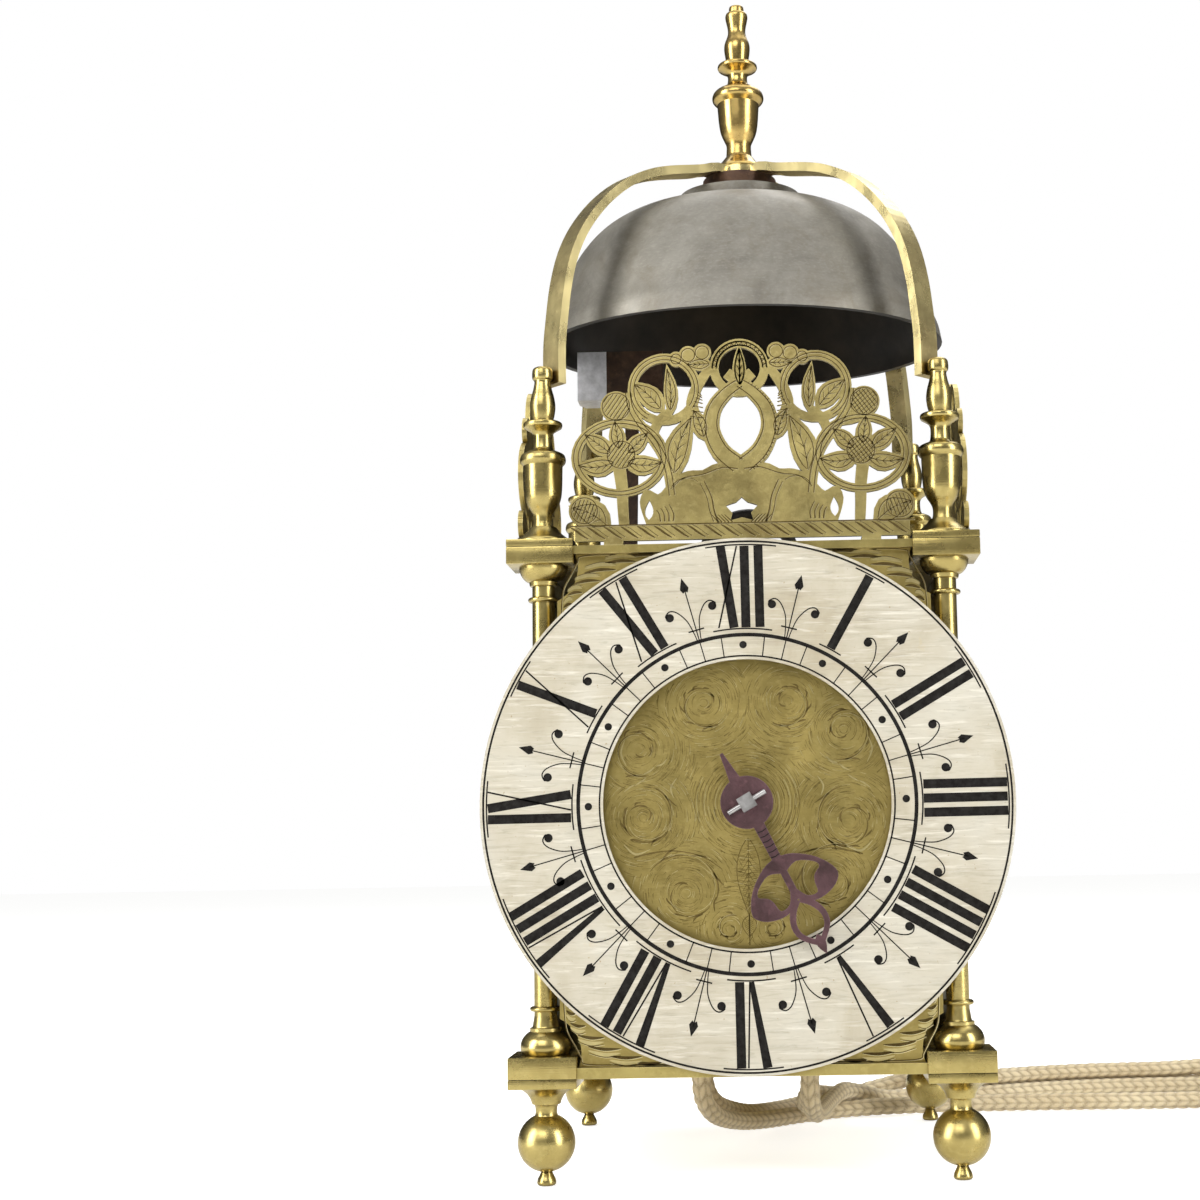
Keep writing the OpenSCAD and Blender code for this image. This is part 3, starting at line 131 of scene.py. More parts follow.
class Shader:
    """A material's nodes"""

    def __init__(self, name):
        self.mat = bpy.data.materials.new(name)
        self.mat.use_nodes = True
        self.tree = self.mat.node_tree
        self.bsdf = self.tree.nodes["Principled BSDF"]

    def add(self, kind, operation=None, **values):
        """A new node, with constants for its sockets: From_Min is the socket From Min"""
        n = self.tree.nodes.new("ShaderNode" + kind)
        if operation:
            n.operation = operation
        for key, value in values.items():
            n.inputs[key.replace("_", " ")].default_value = value
        return n

    def link(self, a, b):
        self.tree.links.new(a, b)

    def feed(self, socket, value):
        """A constant or another node's output into the surface"""
        if isinstance(value, (float, tuple)):
            self.bsdf.inputs[socket].default_value = value
        else:
            self.link(value, self.bsdf.inputs[socket])

    def place(self, scale=(1, 1, 1), turned_by=(0, 0, 0)):
        tc = self.add("TexCoord")
        mp = self.add("Mapping", Scale=scale, Rotation=turned_by)
        self.link(tc.outputs["Object"], mp.inputs["Vector"])
        return mp.outputs["Vector"]

    def noise(self, vec, scale, detail=4.0, rough=0.55, distortion=0.0):
        n = self.add("TexNoise", Scale=scale, Detail=detail, Roughness=rough, Distortion=distortion)
        self.link(vec, n.inputs["Vector"])
        return n.outputs["Fac"]

    def ramp(self, fac, stops):
        r = self.add("ValToRGB")
        stop = r.color_ramp.elements
        while len(stop) < len(stops):
            stop.new(0.5)
        for el, (pos, col) in zip(stop, stops):
            el.position = pos
            el.color = (*col, 1)
        self.link(fac, r.inputs["Fac"])
        return r.outputs["Color"]

    def mix(self, fac, a, b):
        n = self.add("Mix")
        n.data_type = "RGBA"
        if isinstance(fac, float):
            n.inputs[0].default_value = fac
        else:
            self.link(fac, n.inputs[0])
        for socket, v in ((6, a), (7, b)):
            if isinstance(v, tuple):
                n.inputs[socket].default_value = (*v, 1)
            else:
                self.link(v, n.inputs[socket])
        return n.outputs[2]

    def spread(self, fac, lo, hi, a=0.3, b=0.7):
        """lo where fac is a or less, hi where it is b or more"""
        n = self.add("MapRange", From_Min=a, From_Max=b, To_Min=lo, To_Max=hi)
        self.link(fac, n.inputs["Value"])
        return n.outputs["Result"]

    def math(self, kind, a, b):
        n = self.add("Math", kind)
        for socket, v in ((0, a), (1, b)):
            if isinstance(v, (int, float)):
                n.inputs[socket].default_value = v
            else:
                self.link(v, n.inputs[socket])
        return n.outputs[0]

    def bump(self, heights, distance):
        last = None
        for fac, strength in heights:
            b = self.add("Bump", Strength=strength, Distance=distance)
            self.link(fac, b.inputs["Height"])
            if last:
                self.link(last, b.inputs["Normal"])
            last = b.outputs["Normal"]
        self.feed("Normal", last)

    def worn_edges(self, col, pale, amount=0.75, radius=0.35):
        """Paler metal where an edge has been rubbed"""
        geo = self.add("NewGeometry")
        soft = self.add("Bevel", Radius=radius * MM)
        soft.samples = 4
        same = self.add("VectorMath", "DOT_PRODUCT")
        self.link(soft.outputs["Normal"], same.inputs[0])
        self.link(geo.outputs["Normal"], same.inputs[1])
        return self.mix(self.spread(same.outputs["Value"], amount, 0.0, 0.82, 0.99), col, pale)


def brass(name, base, dark, rough=(0.2, 0.36), lines=(1, 1, 1), strength=0.12,
          painted_corner_shade=0.65, tarnish=0.5, edge=None):
    """Brass with uneven tarnish, specks, painted shade in its corners and fine lines from the file or lathe
    """
    sh = Shader(name)
    vec = sh.place()
    blot = sh.noise(vec, 60, 7, 0.62, 0.4)
    col = sh.ramp(blot, [(0.30, dark), (0.60, base)])
    col = sh.mix(tarnish, base, col)
    small = sh.noise(vec, 420, 4, 0.6, 0.2)
    pale = tuple(min(1.0, c * 1.22 + 0.03) for c in base)
    col = sh.mix(sh.spread(small, 0.0, 0.5, 0.5, 0.75), col, pale)
    speck = sh.noise(vec, 900, 3, 0.6)
    col = sh.mix(sh.spread(speck, 0.0, 0.4, 0.63, 0.74), col, dark)
    # painted shade: colour darkened towards a dark tone where ambient occlusion finds corners and recesses
    ao = sh.add("AmbientOcclusion", Distance=0.004)
    ao.samples = 6
    painted_crevice_shade = sh.spread(ao.outputs["AO"], painted_corner_shade, 0.0, 0.25, 0.85)
    col = sh.mix(painted_crevice_shade, col, (dark[0] * 0.30, dark[1] * 0.27, dark[2] * 0.22))
    if edge:
        col = sh.worn_edges(col, edge)
    sh.feed("Metallic", 1.0)
    sh.feed("Roughness", sh.spread(sh.noise(vec, 90, 5, 0.6), *rough))
    fine = sh.noise(sh.place(lines), 220, 3, 0.5)
    sh.bump([(fine, strength), (sh.noise(vec, 130, 3, 0.5), 0.10)], 0.0004)
    sh.feed("Base Color", col)
    sh.col, sh.vec = col, vec
    return sh


def iron(name, base, light, rough=(0.4, 0.65), metallic=0.7, strength=0.35, edge=None):
    sh = Shader(name)
    vec = sh.place()
    col = sh.ramp(sh.noise(vec, 90, 7, 0.65, 0.5), [(0.35, base), (0.68, light)])
    worn = sh.noise(vec, 380, 4, 0.6)
    bare = tuple(min(1.0, c * 1.7) for c in light)
    col = sh.mix(sh.spread(worn, 0.0, 0.5, 0.55, 0.75), col, bare)
    if edge:
        col = sh.worn_edges(col, edge)
    sh.feed("Base Color", col)
    sh.feed("Metallic", metallic)
    sh.feed("Roughness", sh.spread(sh.noise(vec, 140, 4), *rough))
    sh.bump([(sh.noise(vec, 260, 6, 0.7), strength)], 0.0004)
    sh.col, sh.vec = col, vec
    return sh


def steel_where(sh, test, dark=STEEL_DARK, light=STEEL):
    """Bright steel where a test of the object's own place is above 0"""
    co = sh.add("SeparateXYZ")
    sh.link(sh.vec, co.inputs[0])
    step = sh.add("Math", "GREATER_THAN")
    step.inputs[1].default_value = 0.0
    sh.link(test(sh, co), step.inputs[0])
    grey = sh.ramp(sh.noise(sh.vec, 300, 5, 0.6), [(0.35, dark), (0.7, light)])
    sh.feed("Base Color", sh.mix(step.outputs[0], sh.col, grey))
    return sh.mat


def painted_side_highlight(sh, pale):
    """Painted highlight: brighter colour on the faces that look sideways round Z, such as a strap's edges"""
    geo = sh.add("NewGeometry")
    flat = sh.add("VectorMath", "MULTIPLY")
    sh.link(sh.vec, flat.inputs[0])
    flat.inputs[1].default_value = (1, 1, 0)
    out = sh.add("VectorMath", "NORMALIZE")
    sh.link(flat.outputs["Vector"], out.inputs[0])
    across = sh.add("VectorMath", "CROSS_PRODUCT")
    sh.link(out.outputs["Vector"], across.inputs[0])
    sh.link(geo.outputs["Normal"], across.inputs[1])
    axis = sh.add("SeparateXYZ")
    sh.link(across.outputs["Vector"], axis.inputs[0])
    size = sh.add("Math", "ABSOLUTE")
    sh.link(axis.outputs[2], size.inputs[0])
    sh.feed("Base Color", sh.mix(sh.spread(size.outputs[0], 0.0, 1.0, 0.6, 0.9), sh.col, pale))
    return sh.mat


def near_arbor(centre, radius):
    """Above 0 inside a radius of an arbor that runs along Y"""
    def test(sh, co):
        dx = sh.math("SUBTRACT", co.outputs[0], centre.x)
        dz = sh.math("SUBTRACT", co.outputs[2], centre.z)
        far = sh.math("ADD", sh.math("MULTIPLY", dx, dx), sh.math("MULTIPLY", dz, dz))
        return sh.math("SUBTRACT", radius * radius, far)
    return test


def below(axis, limit):
    """Above 0 where the place along an axis is under a limit"""
    return lambda sh, co: sh.math("SUBTRACT", limit, co.outputs[axis])


def movement_finish(name):
    return brass(name, MOVEMENT, CASE_DARK, (0.25, 0.4), (1, 6, 1), 0.14)


case_brass = brass("case_brass", CASE, CASE_DARK, (0.24, 0.40)).mat
turned_brass = brass("turned_brass", (0.46, 0.368, 0.137), CASE_DARK, (0.20, 0.34), LATHE, 0.10).mat
crown_brass = brass("crown_brass", (0.49, 0.355, 0.12), (0.28, 0.16, 0.05), (0.18, 0.30), LATHE, 0.08).mat
plate_brass = brass("plate_brass", CASE, CASE_DARK, (0.26, 0.42), (0.25, 8, 1), 0.14, edge=PALE).mat
# the strap's narrow sideways faces get a painted highlight
strap_brass = painted_side_highlight(
    brass("strap_brass", (0.72, 0.60, 0.28), (0.40, 0.28, 0.13), (0.22, 0.38), (2, 2, 0.3), 0.14),
    (0.76, 0.64, 0.31))
fret_brass = brass("fret_brass", (0.47, 0.385, 0.15), (0.22, 0.165, 0.06), (0.32, 0.48), (3, 3, 3), 0.16,
                   0.6, 0.8, PALE).mat
dial_brass = brass("dial_brass", (0.39, 0.305, 0.102), (0.26, 0.20, 0.062), (0.34, 0.52), (1.2, 1, 4), 0.2,
                   0.25, 0.9).mat
movement_brass = movement_finish("movement_brass").mat
black_iron = iron("black_iron", (0.026, 0.024, 0.023), (0.062, 0.056, 0.051), (0.42, 0.7), 0.6,
                  edge=(0.17, 0.15, 0.14)).mat
steel = iron("filed_steel", STEEL_DARK, STEEL, (0.25, 0.42), 1.0, 0.2).mat
brown_iron = iron("browned_iron", (0.035, 0.017, 0.010), (0.10, 0.05, 0.026), (0.4, 0.62), 0.5, 0.5).mat
hand_iron = iron("purple_hand", (0.040, 0.018, 0.018), (0.105, 0.050, 0.056), (0.35, 0.55), 0.45, 0.6,
                 (0.25, 0.16, 0.165)).mat
# the hammer's striking end: polished steel, painted brighter than the arbors' steel as a highlight where
# light falls
hammer_iron = steel_where(
    iron("hammer_iron", (0.03, 0.018, 0.012), (0.09, 0.05, 0.03), (0.35, 0.6), 0.45), below(0, -50 * MM),
    (0.50, 0.50, 0.52), (0.74, 0.74, 0.77))


def bell_material():
    """Dull grey metal with faint turning marks, and painted shade that makes it near black inside"""
    sh = Shader("bell_metal")
    vec = sh.place()
    col = sh.ramp(sh.noise(vec, 30, 8, 0.7, 0.8),
                  [(0.28, (0.120, 0.110, 0.092)), (0.5, (0.200, 0.188, 0.160)),
                   (0.74, (0.275, 0.262, 0.228))])
    grain = sh.noise(sh.place((0.7, 0.7, 1.5)), 950, 3, 0.6)
    col = sh.mix(sh.spread(grain, 0.0, 0.3, 0.5, 0.72), col, (0.33, 0.315, 0.275))
    stain = sh.noise(vec, 75, 6, 0.7, 0.6)
    col = sh.mix(sh.spread(stain, 0.0, 0.55, 0.5, 0.72), col, (0.130, 0.108, 0.074))
    ring = sh.noise(sh.place((0.05, 0.05, 9)), 60, 3, 0.6)
    col = sh.mix(sh.spread(ring, 0.0, 0.16), col, (0.27, 0.255, 0.22))
    low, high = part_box("bell")
    heart = (low + high) / 2
    # painted shade: faces turned towards the bell's middle, its inside, are coloured near black
    geo = sh.add("NewGeometry")
    away = sh.add("VectorMath", "SUBTRACT")
    sh.link(vec, away.inputs[0])
    away.inputs[1].default_value = (heart.x, heart.y, low.z)
    facing = sh.add("VectorMath", "DOT_PRODUCT")
    sh.link(away.outputs["Vector"], facing.inputs[0])
    sh.link(geo.outputs["Normal"], facing.inputs[1])
    inside = sh.spread(facing.outputs["Value"], 1.0, 0.0, -0.004, 0.004)
    painted_inner_shade = sh.ramp(sh.noise(vec, 40, 6, 0.6),
                   [(0.35, (0.012, 0.010, 0.008)), (0.75, (0.038, 0.030, 0.021))])
    sh.feed("Base Color", sh.mix(inside, col, painted_inner_shade))
    sh.feed("Metallic", 0.7)
    sh.feed("Roughness", sh.spread(sh.noise(vec, 60, 5), 0.46, 0.62))
    lathe = sh.noise(sh.place((0.05, 0.05, 30)), 120, 2, 0.5)
    sh.bump([(lathe, 0.02), (sh.noise(vec, 300, 5, 0.6), 0.15)], 0.0005)
    return sh.mat


def ring_material():
    """Silvered brass, warm where it wears, brushed with short strokes"""
    sh = Shader("silvered_ring")
    vec = sh.place()
    cloud = sh.noise(vec, 30, 6, 0.6, 0.5)
    col = sh.ramp(cloud, [(0.30, (0.40, 0.35, 0.25)), (0.50, (0.49, 0.45, 0.355)),
                          (0.75, (0.545, 0.52, 0.445))])
    strokes = sh.place((0.45, 1, 4.0), (0, 0.10, 0))
    brush = sh.noise(strokes, 240, 5, 0.65, 0.8)
    col = sh.mix(sh.spread(brush, 0.0, 0.5, 0.52, 0.70), col, (0.29, 0.26, 0.195))
    glint = sh.noise(sh.place((0.35, 1, 4.6), (0, -0.22, 0)), 210, 4, 0.6, 0.5)
    col = sh.mix(sh.spread(glint, 0.0, 0.4, 0.55, 0.70), col, (0.80, 0.77, 0.68))
    scratch = sh.noise(sh.place((0.30, 1, 5.0), (0, 0.62, 0)), 130, 4, 0.6, 0.4)
    col = sh.mix(sh.spread(scratch, 0.0, 0.35, 0.56, 0.70), col, (0.31, 0.27, 0.20))
    spots = sh.noise(vec, 900, 2, 0.5)
    col = sh.mix(sh.spread(spots, 0.0, 0.7, 0.70, 0.76), col, (0.30, 0.22, 0.12))
    rub = sh.noise(vec, 95, 4, 0.7, 0.3)
    col = sh.mix(sh.spread(rub, 0.0, 0.55, 0.66, 0.78), col, (0.50, 0.40, 0.22))
    sh.feed("Base Color", col)
    sh.feed("Metallic", 0.3)
    sh.feed("Roughness", sh.spread(sh.noise(vec, 120, 5), 0.45, 0.65))
    sh.bump([(brush, 0.22), (sh.noise(vec, 700, 4), 0.12)], 0.0003)
    return sh.mat


def ink_material(name, col, rough, metallic=0.0, gain=2.2):
    """A filled or open cut, or a painted highlight beside one, gain times lighter in places"""
    sh = Shader(name)
    vec = sh.place()
    worn = tuple(min(1, x * gain + 0.01) for x in col)
    sh.feed("Base Color", sh.ramp(sh.noise(vec, 500, 4, 0.6), [(0.35, col), (0.75, worn)]))
    sh.feed("Metallic", metallic)
    sh.feed("Roughness", rough)
    sh.feed("Specular IOR Level", 0.08)
    return sh.mat


def cotton_material():
    """Worn cotton, darker between the stitches, where the attribute relief is low"""
    sh = Shader("plaited_cotton")
    at = sh.add("Attribute")
    at.attribute_name = "relief"
    vec = sh.place()
    stain = sh.noise(vec, 34, 4, 0.6)
    col = sh.ramp(stain, [(0.35, (0.62, 0.49, 0.28)), (0.7, (0.77, 0.655, 0.42))])
    col = sh.mix(sh.spread(at.outputs["Fac"], 0.95, 0.0, 0.12, 0.85), col, (0.27, 0.175, 0.07))
    fluff = sh.noise(vec, 2600, 3, 0.6)
    col = sh.mix(sh.spread(fluff, 0.0, 0.35), col, (0.88, 0.83, 0.68))
    sh.feed("Base Color", col)
    sh.feed("Roughness", 0.92)
    sh.feed("Sheen Weight", 0.25)
    sh.feed("Sheen Roughness", 0.5)
    sh.bump([(fluff, 0.5)], 0.0003)
    return sh.mat


bell_metal = bell_material()
silvered = ring_material()
black_wax = ink_material("black_wax", (0.007, 0.006, 0.005), 0.75, gain=1.6)
cut_line = ink_material("engraved_line", (0.070, 0.048, 0.014), 0.5, 0.5, 1.5)
# painted highlight: the bright copy laid beside each engraved stroke
cut_glint = ink_material("engraved_glint", (0.66, 0.57, 0.30), 0.3, 1.0, 1.1)
fine_cut = ink_material("fine_engraving", (0.17, 0.125, 0.038), 0.45, 0.8, 1.4)
dial_cut = ink_material("dial_engraving", (0.12, 0.085, 0.026), 0.45, 0.7, 1.5)
dial_glint = ink_material("dial_glint", (0.50, 0.42, 0.19), 0.35, 1.0, 1.2)
cotton = cotton_material()


# Pieces
def add_piece(name, me, mat, body):
    me.materials.append(mat)
    ob = bpy.data.objects.new(name, me)
    scene.collection.objects.link(ob)
    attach(ob, body)
    return ob


# Rope: plaited cotton, eight columns of slanted stitches
ROPE_D = 6.4
RELIEF = 0.5
STITCH = 4.3
COLUMNS = 8
AROUND_ROPE = 32
ROPE_STEP = 0.72
# where it leaves the bottom plate, the pulleys inside, and the spare coil
UNDER_Z = 32.2
PULLEY_R = 18
PULLEY_Y = 12
PULLEY_Z = 76.5
COIL_AT = (240, 58)
COIL_R = 51
COIL_Z = 3.2
COIL_PITCH = 7
COIL_DEG = 360 * 10 - 75
COIL_STEPS = 48


def plait(name, pts):
    """A plaited rope along the points: rings of vertices whose radius follows the stitches"""
    P, total = resample(pts, ROPE_STEP)
    around = AROUND_ROPE
    n = len(P)
    T = np.gradient(P, axis=0)
    T /= np.linalg.norm(T, axis=1)[:, None]
    U = np.zeros_like(P)
    u = np.cross(T[0], [0.3, 1, 0.2])
    u /= np.linalg.norm(u)
    for i in range(n):
        u = u - T[i] * u.dot(T[i])
        u /= np.linalg.norm(u)
        U[i] = u
    V = np.cross(T, U)
    s = np.linspace(0, total, n)[:, None]
    a = (np.arange(around) / around)[None, :]
    c = a * COLUMNS
    f = c - np.floor(c)
    lean = np.where(np.floor(c) % 2 < 1, 1.0, -1.0)
    stitch = np.abs(np.sin(np.pi * (s / STITCH + lean * (f - 0.5) * 0.55)))
    body_round = 1 - np.abs(2 * f - 1) ** 2.5
    relief = (stitch ** 0.6) * (0.45 + 0.55 * body_round)
    R = ROPE_D / 2 - RELIEF * (1 - relief)
    ang = 2 * np.pi * a
    outward = np.cos(ang)[..., None] * U[:, None, :] + np.sin(ang)[..., None] * V[:, None, :]
    W = P[:, None, :] + R[..., None] * outward
    verts = W.reshape(-1, 3) * MM
    i = np.arange(n - 1)[:, None] * around
    k = np.arange(around)[None, :]
    kn = (k + 1) % around
    quads = np.stack([i + k, i + around + k, i + around + kn, i + kn], -1).reshape(-1, 4)
    me = bpy.data.meshes.new(name)
    me.vertices.add(len(verts))
    me.vertices.foreach_set("co", verts.astype(np.float32).ravel())
    nq = len(quads)
    me.loops.add(nq * 4 + 2 * around)
    me.polygons.add(nq + 2)
    caps = np.concatenate([np.arange(around), (n - 1) * around + np.arange(around)[::-1]])
    me.loops.foreach_set("vertex_index", np.concatenate([quads.ravel(), caps]).astype(np.int32))
    starts = np.concatenate([np.arange(nq) * 4, [nq * 4, nq * 4 + around]]).astype(np.int32)
    me.polygons.foreach_set("loop_start", starts)
    me.polygons.foreach_set("use_smooth", [True] * nq + [False, False])
    me.update(calc_edges=True)
    me.validate()
    at = me.attributes.new("relief", "FLOAT", "POINT")
    at.data.foreach_set("value", relief.ravel().astype(np.float32))
    ob = add_piece(name, me, cotton, "case")
    return ob


lead_front = [
    (-18, -12, 32.2), (-18, -12, 25), (-17.4, -9, 18), (-15, -1, 12.5), (-11, 12, 8.5),
    (-5, 27, 5.5), (3, 42, 3.8), (13, 56, 3.2), (27, 68, 3.2), (44, 76, 3.2), (63, 80, 3.2),
    (85, 82, 3.2), (110, 82.5, 3.2), (135, 82, 3.2), (160, 81.8, 3.2), (180, 84, 3.2),
    (197, 91, 3.2), (210, 99, 3.2), (222, 106, 3.2), (233.6, 109, 3.2)]
loop_right = [
    (18, -12, 32.2), (18, -12, 25), (18.2, -9, 18), (19, 0, 12.5), (20.5, 14, 9.5),
    (22.5, 30, 8.6), (25, 46, 8.8), (28.5, 60, 9.9), (32, 70, 10.1), (38, 80, 8), (48, 90, 4.6),
    (63, 98.5, 3.2), (85, 108.2, 3.2), (110, 118.5, 3.2), (135, 125, 3.2), (160, 127.5, 3.2),
    (180, 127.5, 3.2), (191, 123.5, 3.2), (202, 119.4, 3.2), (213, 119, 3.2), (223, 123.6, 3.2),
    (228, 133.5, 3.2), (223, 143.4, 3.2), (213, 148.4, 3.2), (202, 146.5, 3.2),
    (191, 139.6, 3.2), (180, 135.6, 3.2), (160, 134.8, 3.2), (135, 132.4, 3.2),
    (110, 125.8, 3.2), (85, 115.4, 3.2), (63, 108, 3.2), (48, 100, 3.2), (36, 90, 4.4),
    (26, 77, 8), (18.5, 62, 10), (17, 48, 9.6), (17, 36, 9.8), (17.4, 24, 12.6),
    (18, 15, 18.5), (18, 12, 25), (18, 12, 32.2)]
lead_rear = [
    (-18, 12, 32.2), (-18, 12, 25), (-17.3, 14.5, 18), (-14.5, 22, 12.5),
    (-10, 35, 8.5), (-3, 52, 5), (7, 72, 3.4), (18, 90, 3.2), (32, 104, 3.6), (48, 112, 6.4),
    (62, 111.4, 9.8), (74, 110, 9.7), (85, 111.8, 9), (110, 122.2, 9), (135, 128.7, 9),
    (160, 131.2, 9), (174, 131.5, 9.6), (183, 129.4, 10.1), (189.4, 123.6, 10.2),
    (192, 115, 10.2), (193, 103, 10.2), (193.6, 90, 10.2), (192.4, 77.4, 10.2)]


def coil_path():
    """Out of the long lead, in along the lower layer, and out again on top of it"""
    n = int(COIL_DEG / 360 * COIL_STEPS)
    out = []
    for i in range(n + 1):
        s = i / n
        r = COIL_R - COIL_PITCH * (COIL_DEG / 720 - abs(s - 0.5) * COIL_DEG / 360)
        climb = max(0, min(1, (s - 0.5) * COIL_DEG / 180 + 0.5))
        z = COIL_Z + COIL_PITCH * (3 - 2 * climb) * climb * climb
        out.append(np.array((*polar(COIL_AT, r, 90 - COIL_DEG * s), z)))
    return out


def over_pulley(y):
    """Up from the plate, over a pulley and down again"""
    rise = PULLEY_Z - UNDER_Z
    up_side = [(-PULLEY_R, y, UNDER_Z + rise * t / 8) for t in range(9)]
    bend = [math.radians(a) for a in range(6, 180, 6)]
    top_side = [(-PULLEY_R * math.cos(a), y, PULLEY_Z + PULLEY_R * math.sin(a)) for a in bend]
    return up_side + top_side + [(PULLEY_R, y, PULLEY_Z - rise * t / 8) for t in range(9)]


def rope_pieces():
    long_way = smooth(lead_front, 10)[:-1] + coil_path() + smooth(lead_rear[::-1], 10)[1:]
    long_nodes = ("rope_front_lead", "rope_coil", "rope_rear_lead")
    for name, way, exit_at, nodes in (
            ("rope_long_way", long_way, lead_front[0], long_nodes),
            ("rope_short_way", smooth(loop_right, 10), loop_right[0], ("rope_right_loop",))):
        ob = plait(name, way)
        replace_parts(ob, *nodes)
    inside = [plait("rope_over_pulley_%d" % k, over_pulley(y)) for k, y in enumerate((-PULLEY_Y, PULLEY_Y))]
    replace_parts(inside[0], "rope_on_pulleys")


rope_pieces()


# Turned work: runs of (radius, height) points, each smoothed, with an edge where two runs meet
AROUND = 72
BLOCK = 20.8
SOFT_EDGE = 0.3


def turned(node, runs, x, y, mat, blocks=(), pose=None, ring_shaped=False):
    """A lathe piece at x, y with square blocks at the given heights, in the place of a node"""
    way = []
    for run in runs:
        for p in (smooth(run, 5) if len(run) > 2 else run):
            if not way or math.dist(p, way[-1]) > 0.02:
                way.append(tuple(p))
    bm = bmesh.new()
    rings = []
    for r, z in way:
        rings.append([bm.verts.new(((x + r * math.cos(a)) * MM, (y + r * math.sin(a)) * MM, z * MM))
                      for a in np.linspace(0, 2 * math.pi, AROUND, endpoint=False)])
    for low, high in zip(rings, rings[1:]):
        for i in range(AROUND):
            bm.faces.new((low[i - 1], low[i], high[i], high[i - 1]))
    if ring_shaped:
        for i in range(AROUND):
            bm.faces.new((rings[-1][i - 1], rings[-1][i], rings[0][i], rings[0][i - 1]))
    else:
        bm.faces.new(rings[0][::-1])
        bm.faces.new(rings[-1])
    for z0, z1 in blocks:
        box = bmesh.ops.create_cube(bm, size=1)["verts"]
        bmesh.ops.scale(bm, vec=(BLOCK * MM, BLOCK * MM, (z1 - z0) * MM), verts=box)
        bmesh.ops.translate(bm, vec=(x * MM, y * MM, (z0 + z1) / 2 * MM), verts=box)
        edges = list({e for v in box for e in v.link_edges})
        bmesh.ops.bevel(bm, geom=edges, offset=SOFT_EDGE * MM, segments=2, profile=0.6, affect="EDGES")
    if pose:
        bmesh.ops.transform(bm, matrix=pose, verts=bm.verts)
    me = bpy.data.meshes.new(node + "_turned")
    bm.to_mesh(me)
    bm.free()
    me.polygons.foreach_set("use_smooth", [True] * len(me.polygons))
    me.set_sharp_from_angle(angle=math.radians(32))
    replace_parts(add_piece(node + "_turned", me, mat, "case"), node)


def round_run(c, r, a0, a1, n):
    """An arc of n steps round c, angles in degrees"""
    return [polar(c, r, a0 + (a1 - a0) * i / n) for i in range(n + 1)]


def raised(base, runs):
    """The runs, moved up by base"""
    return [[(r, base + z) for r, z in run] for run in runs]


# Half the spacing of the pillars, the heights that the turned pieces stand on, the shaft's radius
HALF = 63.0
FLOOR_Z = 35.5
CEIL_Z = 191.9
DECK_Z = 194.4
CROWN_Z = 339.6
SHAFT = 3.55
PLACES = {"front_left": (-HALF, -HALF), "front_right": (HALF, -HALF),
          "rear_left": (-HALF, HALF), "rear_right": (HALF, HALF)}
FOOT_BLOCK = [(29.4, 32.2)]
PILLAR_BLOCKS = [(FLOOR_Z - 3.2, FLOOR_Z + 3.3), (CEIL_Z - 2.9, DECK_Z - 0.1)]
FINIAL_BLOCK = [(DECK_Z, DECK_Z + 2.3)]

FOOT = [
    [(0.4, 0.0), (2.5, 0.0)], [(2.5, 0.0), (2.9, 0.6), (2.7, 1.8), (2.0, 3.2), (1.5, 4.4)],
    [(1.5, 4.4), (2.2, 4.35)], round_run((0, 12.6), 8.75, -74, 66, 14),
    [(3.5, 20.7), (3.3, 21.6), (3.4, 23.2), (3.7, 23.9)], [(3.7, 23.9), (4.4, 24.1)],
    [(4.4, 24.1), (4.9, 25.6), (6.0, 27.2), (7.6, 28.4), (9.6, 29.4)]]
PILLAR = raised(FLOOR_Z, [
    [(6.6, 3.0), (7.2, 3.4), (7.75, 4.8), (7.8, 6.2), (7.2, 8.0), (6.1, 9.4), (4.9, 10.3)],
    [(4.9, 10.3), (4.9, 11.3)], [(4.2, 11.5), (4.0, 12.2), (SHAFT, 15.0)],
    [(SHAFT, 15.0), (SHAFT, 16.4)], round_run((4.1, 17.0), 0.75, -70, 70, 4)])
PILLAR += [[(SHAFT, FLOOR_Z + 17.7), (SHAFT, CEIL_Z - 13.8)]]
PILLAR += raised(CEIL_Z, [
    round_run((4.1, -13.2), 0.75, -70, 70, 4),
    [(SHAFT, -12.6), (SHAFT, -9.0)], [(4.3, -8.8), (4.4, -8.2), (4.5, -7.6)],
    [(4.5, -7.6), (5.6, -7.1), (6.8, -5.7), (7.5, -4.0), (7.7, -2.6)]])
FINIAL = raised(DECK_Z, [
    [(8.9, 2.0), (8.7, 3.2), (7.0, 4.4), (5.4, 5.8), (4.2, 7.4)],
    [(4.2, 7.4), (3.3, 7.6)],
    [(3.3, 7.6), (3.0, 9.2), (3.1, 11.2), (3.8, 12.8), (4.9, 14.6), (5.7, 17.0), (6.05, 20.5), (6.15, 25.0),
     (6.2, 27.2)],
    [(6.2, 27.2), (6.6, 27.6)],
    [(6.6, 27.6), (7.15, 28.4), (7.2, 29.6), (6.7, 30.8), (5.2, 31.6), (3.7, 32.2), (3.1, 33.6), (3.0, 36.6),
     (3.6, 38.0), (5.0, 39.0), (6.0, 39.6)],
    [(6.0, 39.6), (6.2, 40.4), (5.9, 41.2), (4.2, 41.8)],
    [(3.3, 42.0), (3.8, 44.0), (4.05, 46.6), (3.7, 49.4), (3.0, 52.0), (2.6, 54.2), (2.7, 55.0)],
    [(2.7, 55.0), (3.2, 55.6), (3.3, 57.2), (3.0, 58.7), (1.9, 59.4), (0.5, 59.6)]])
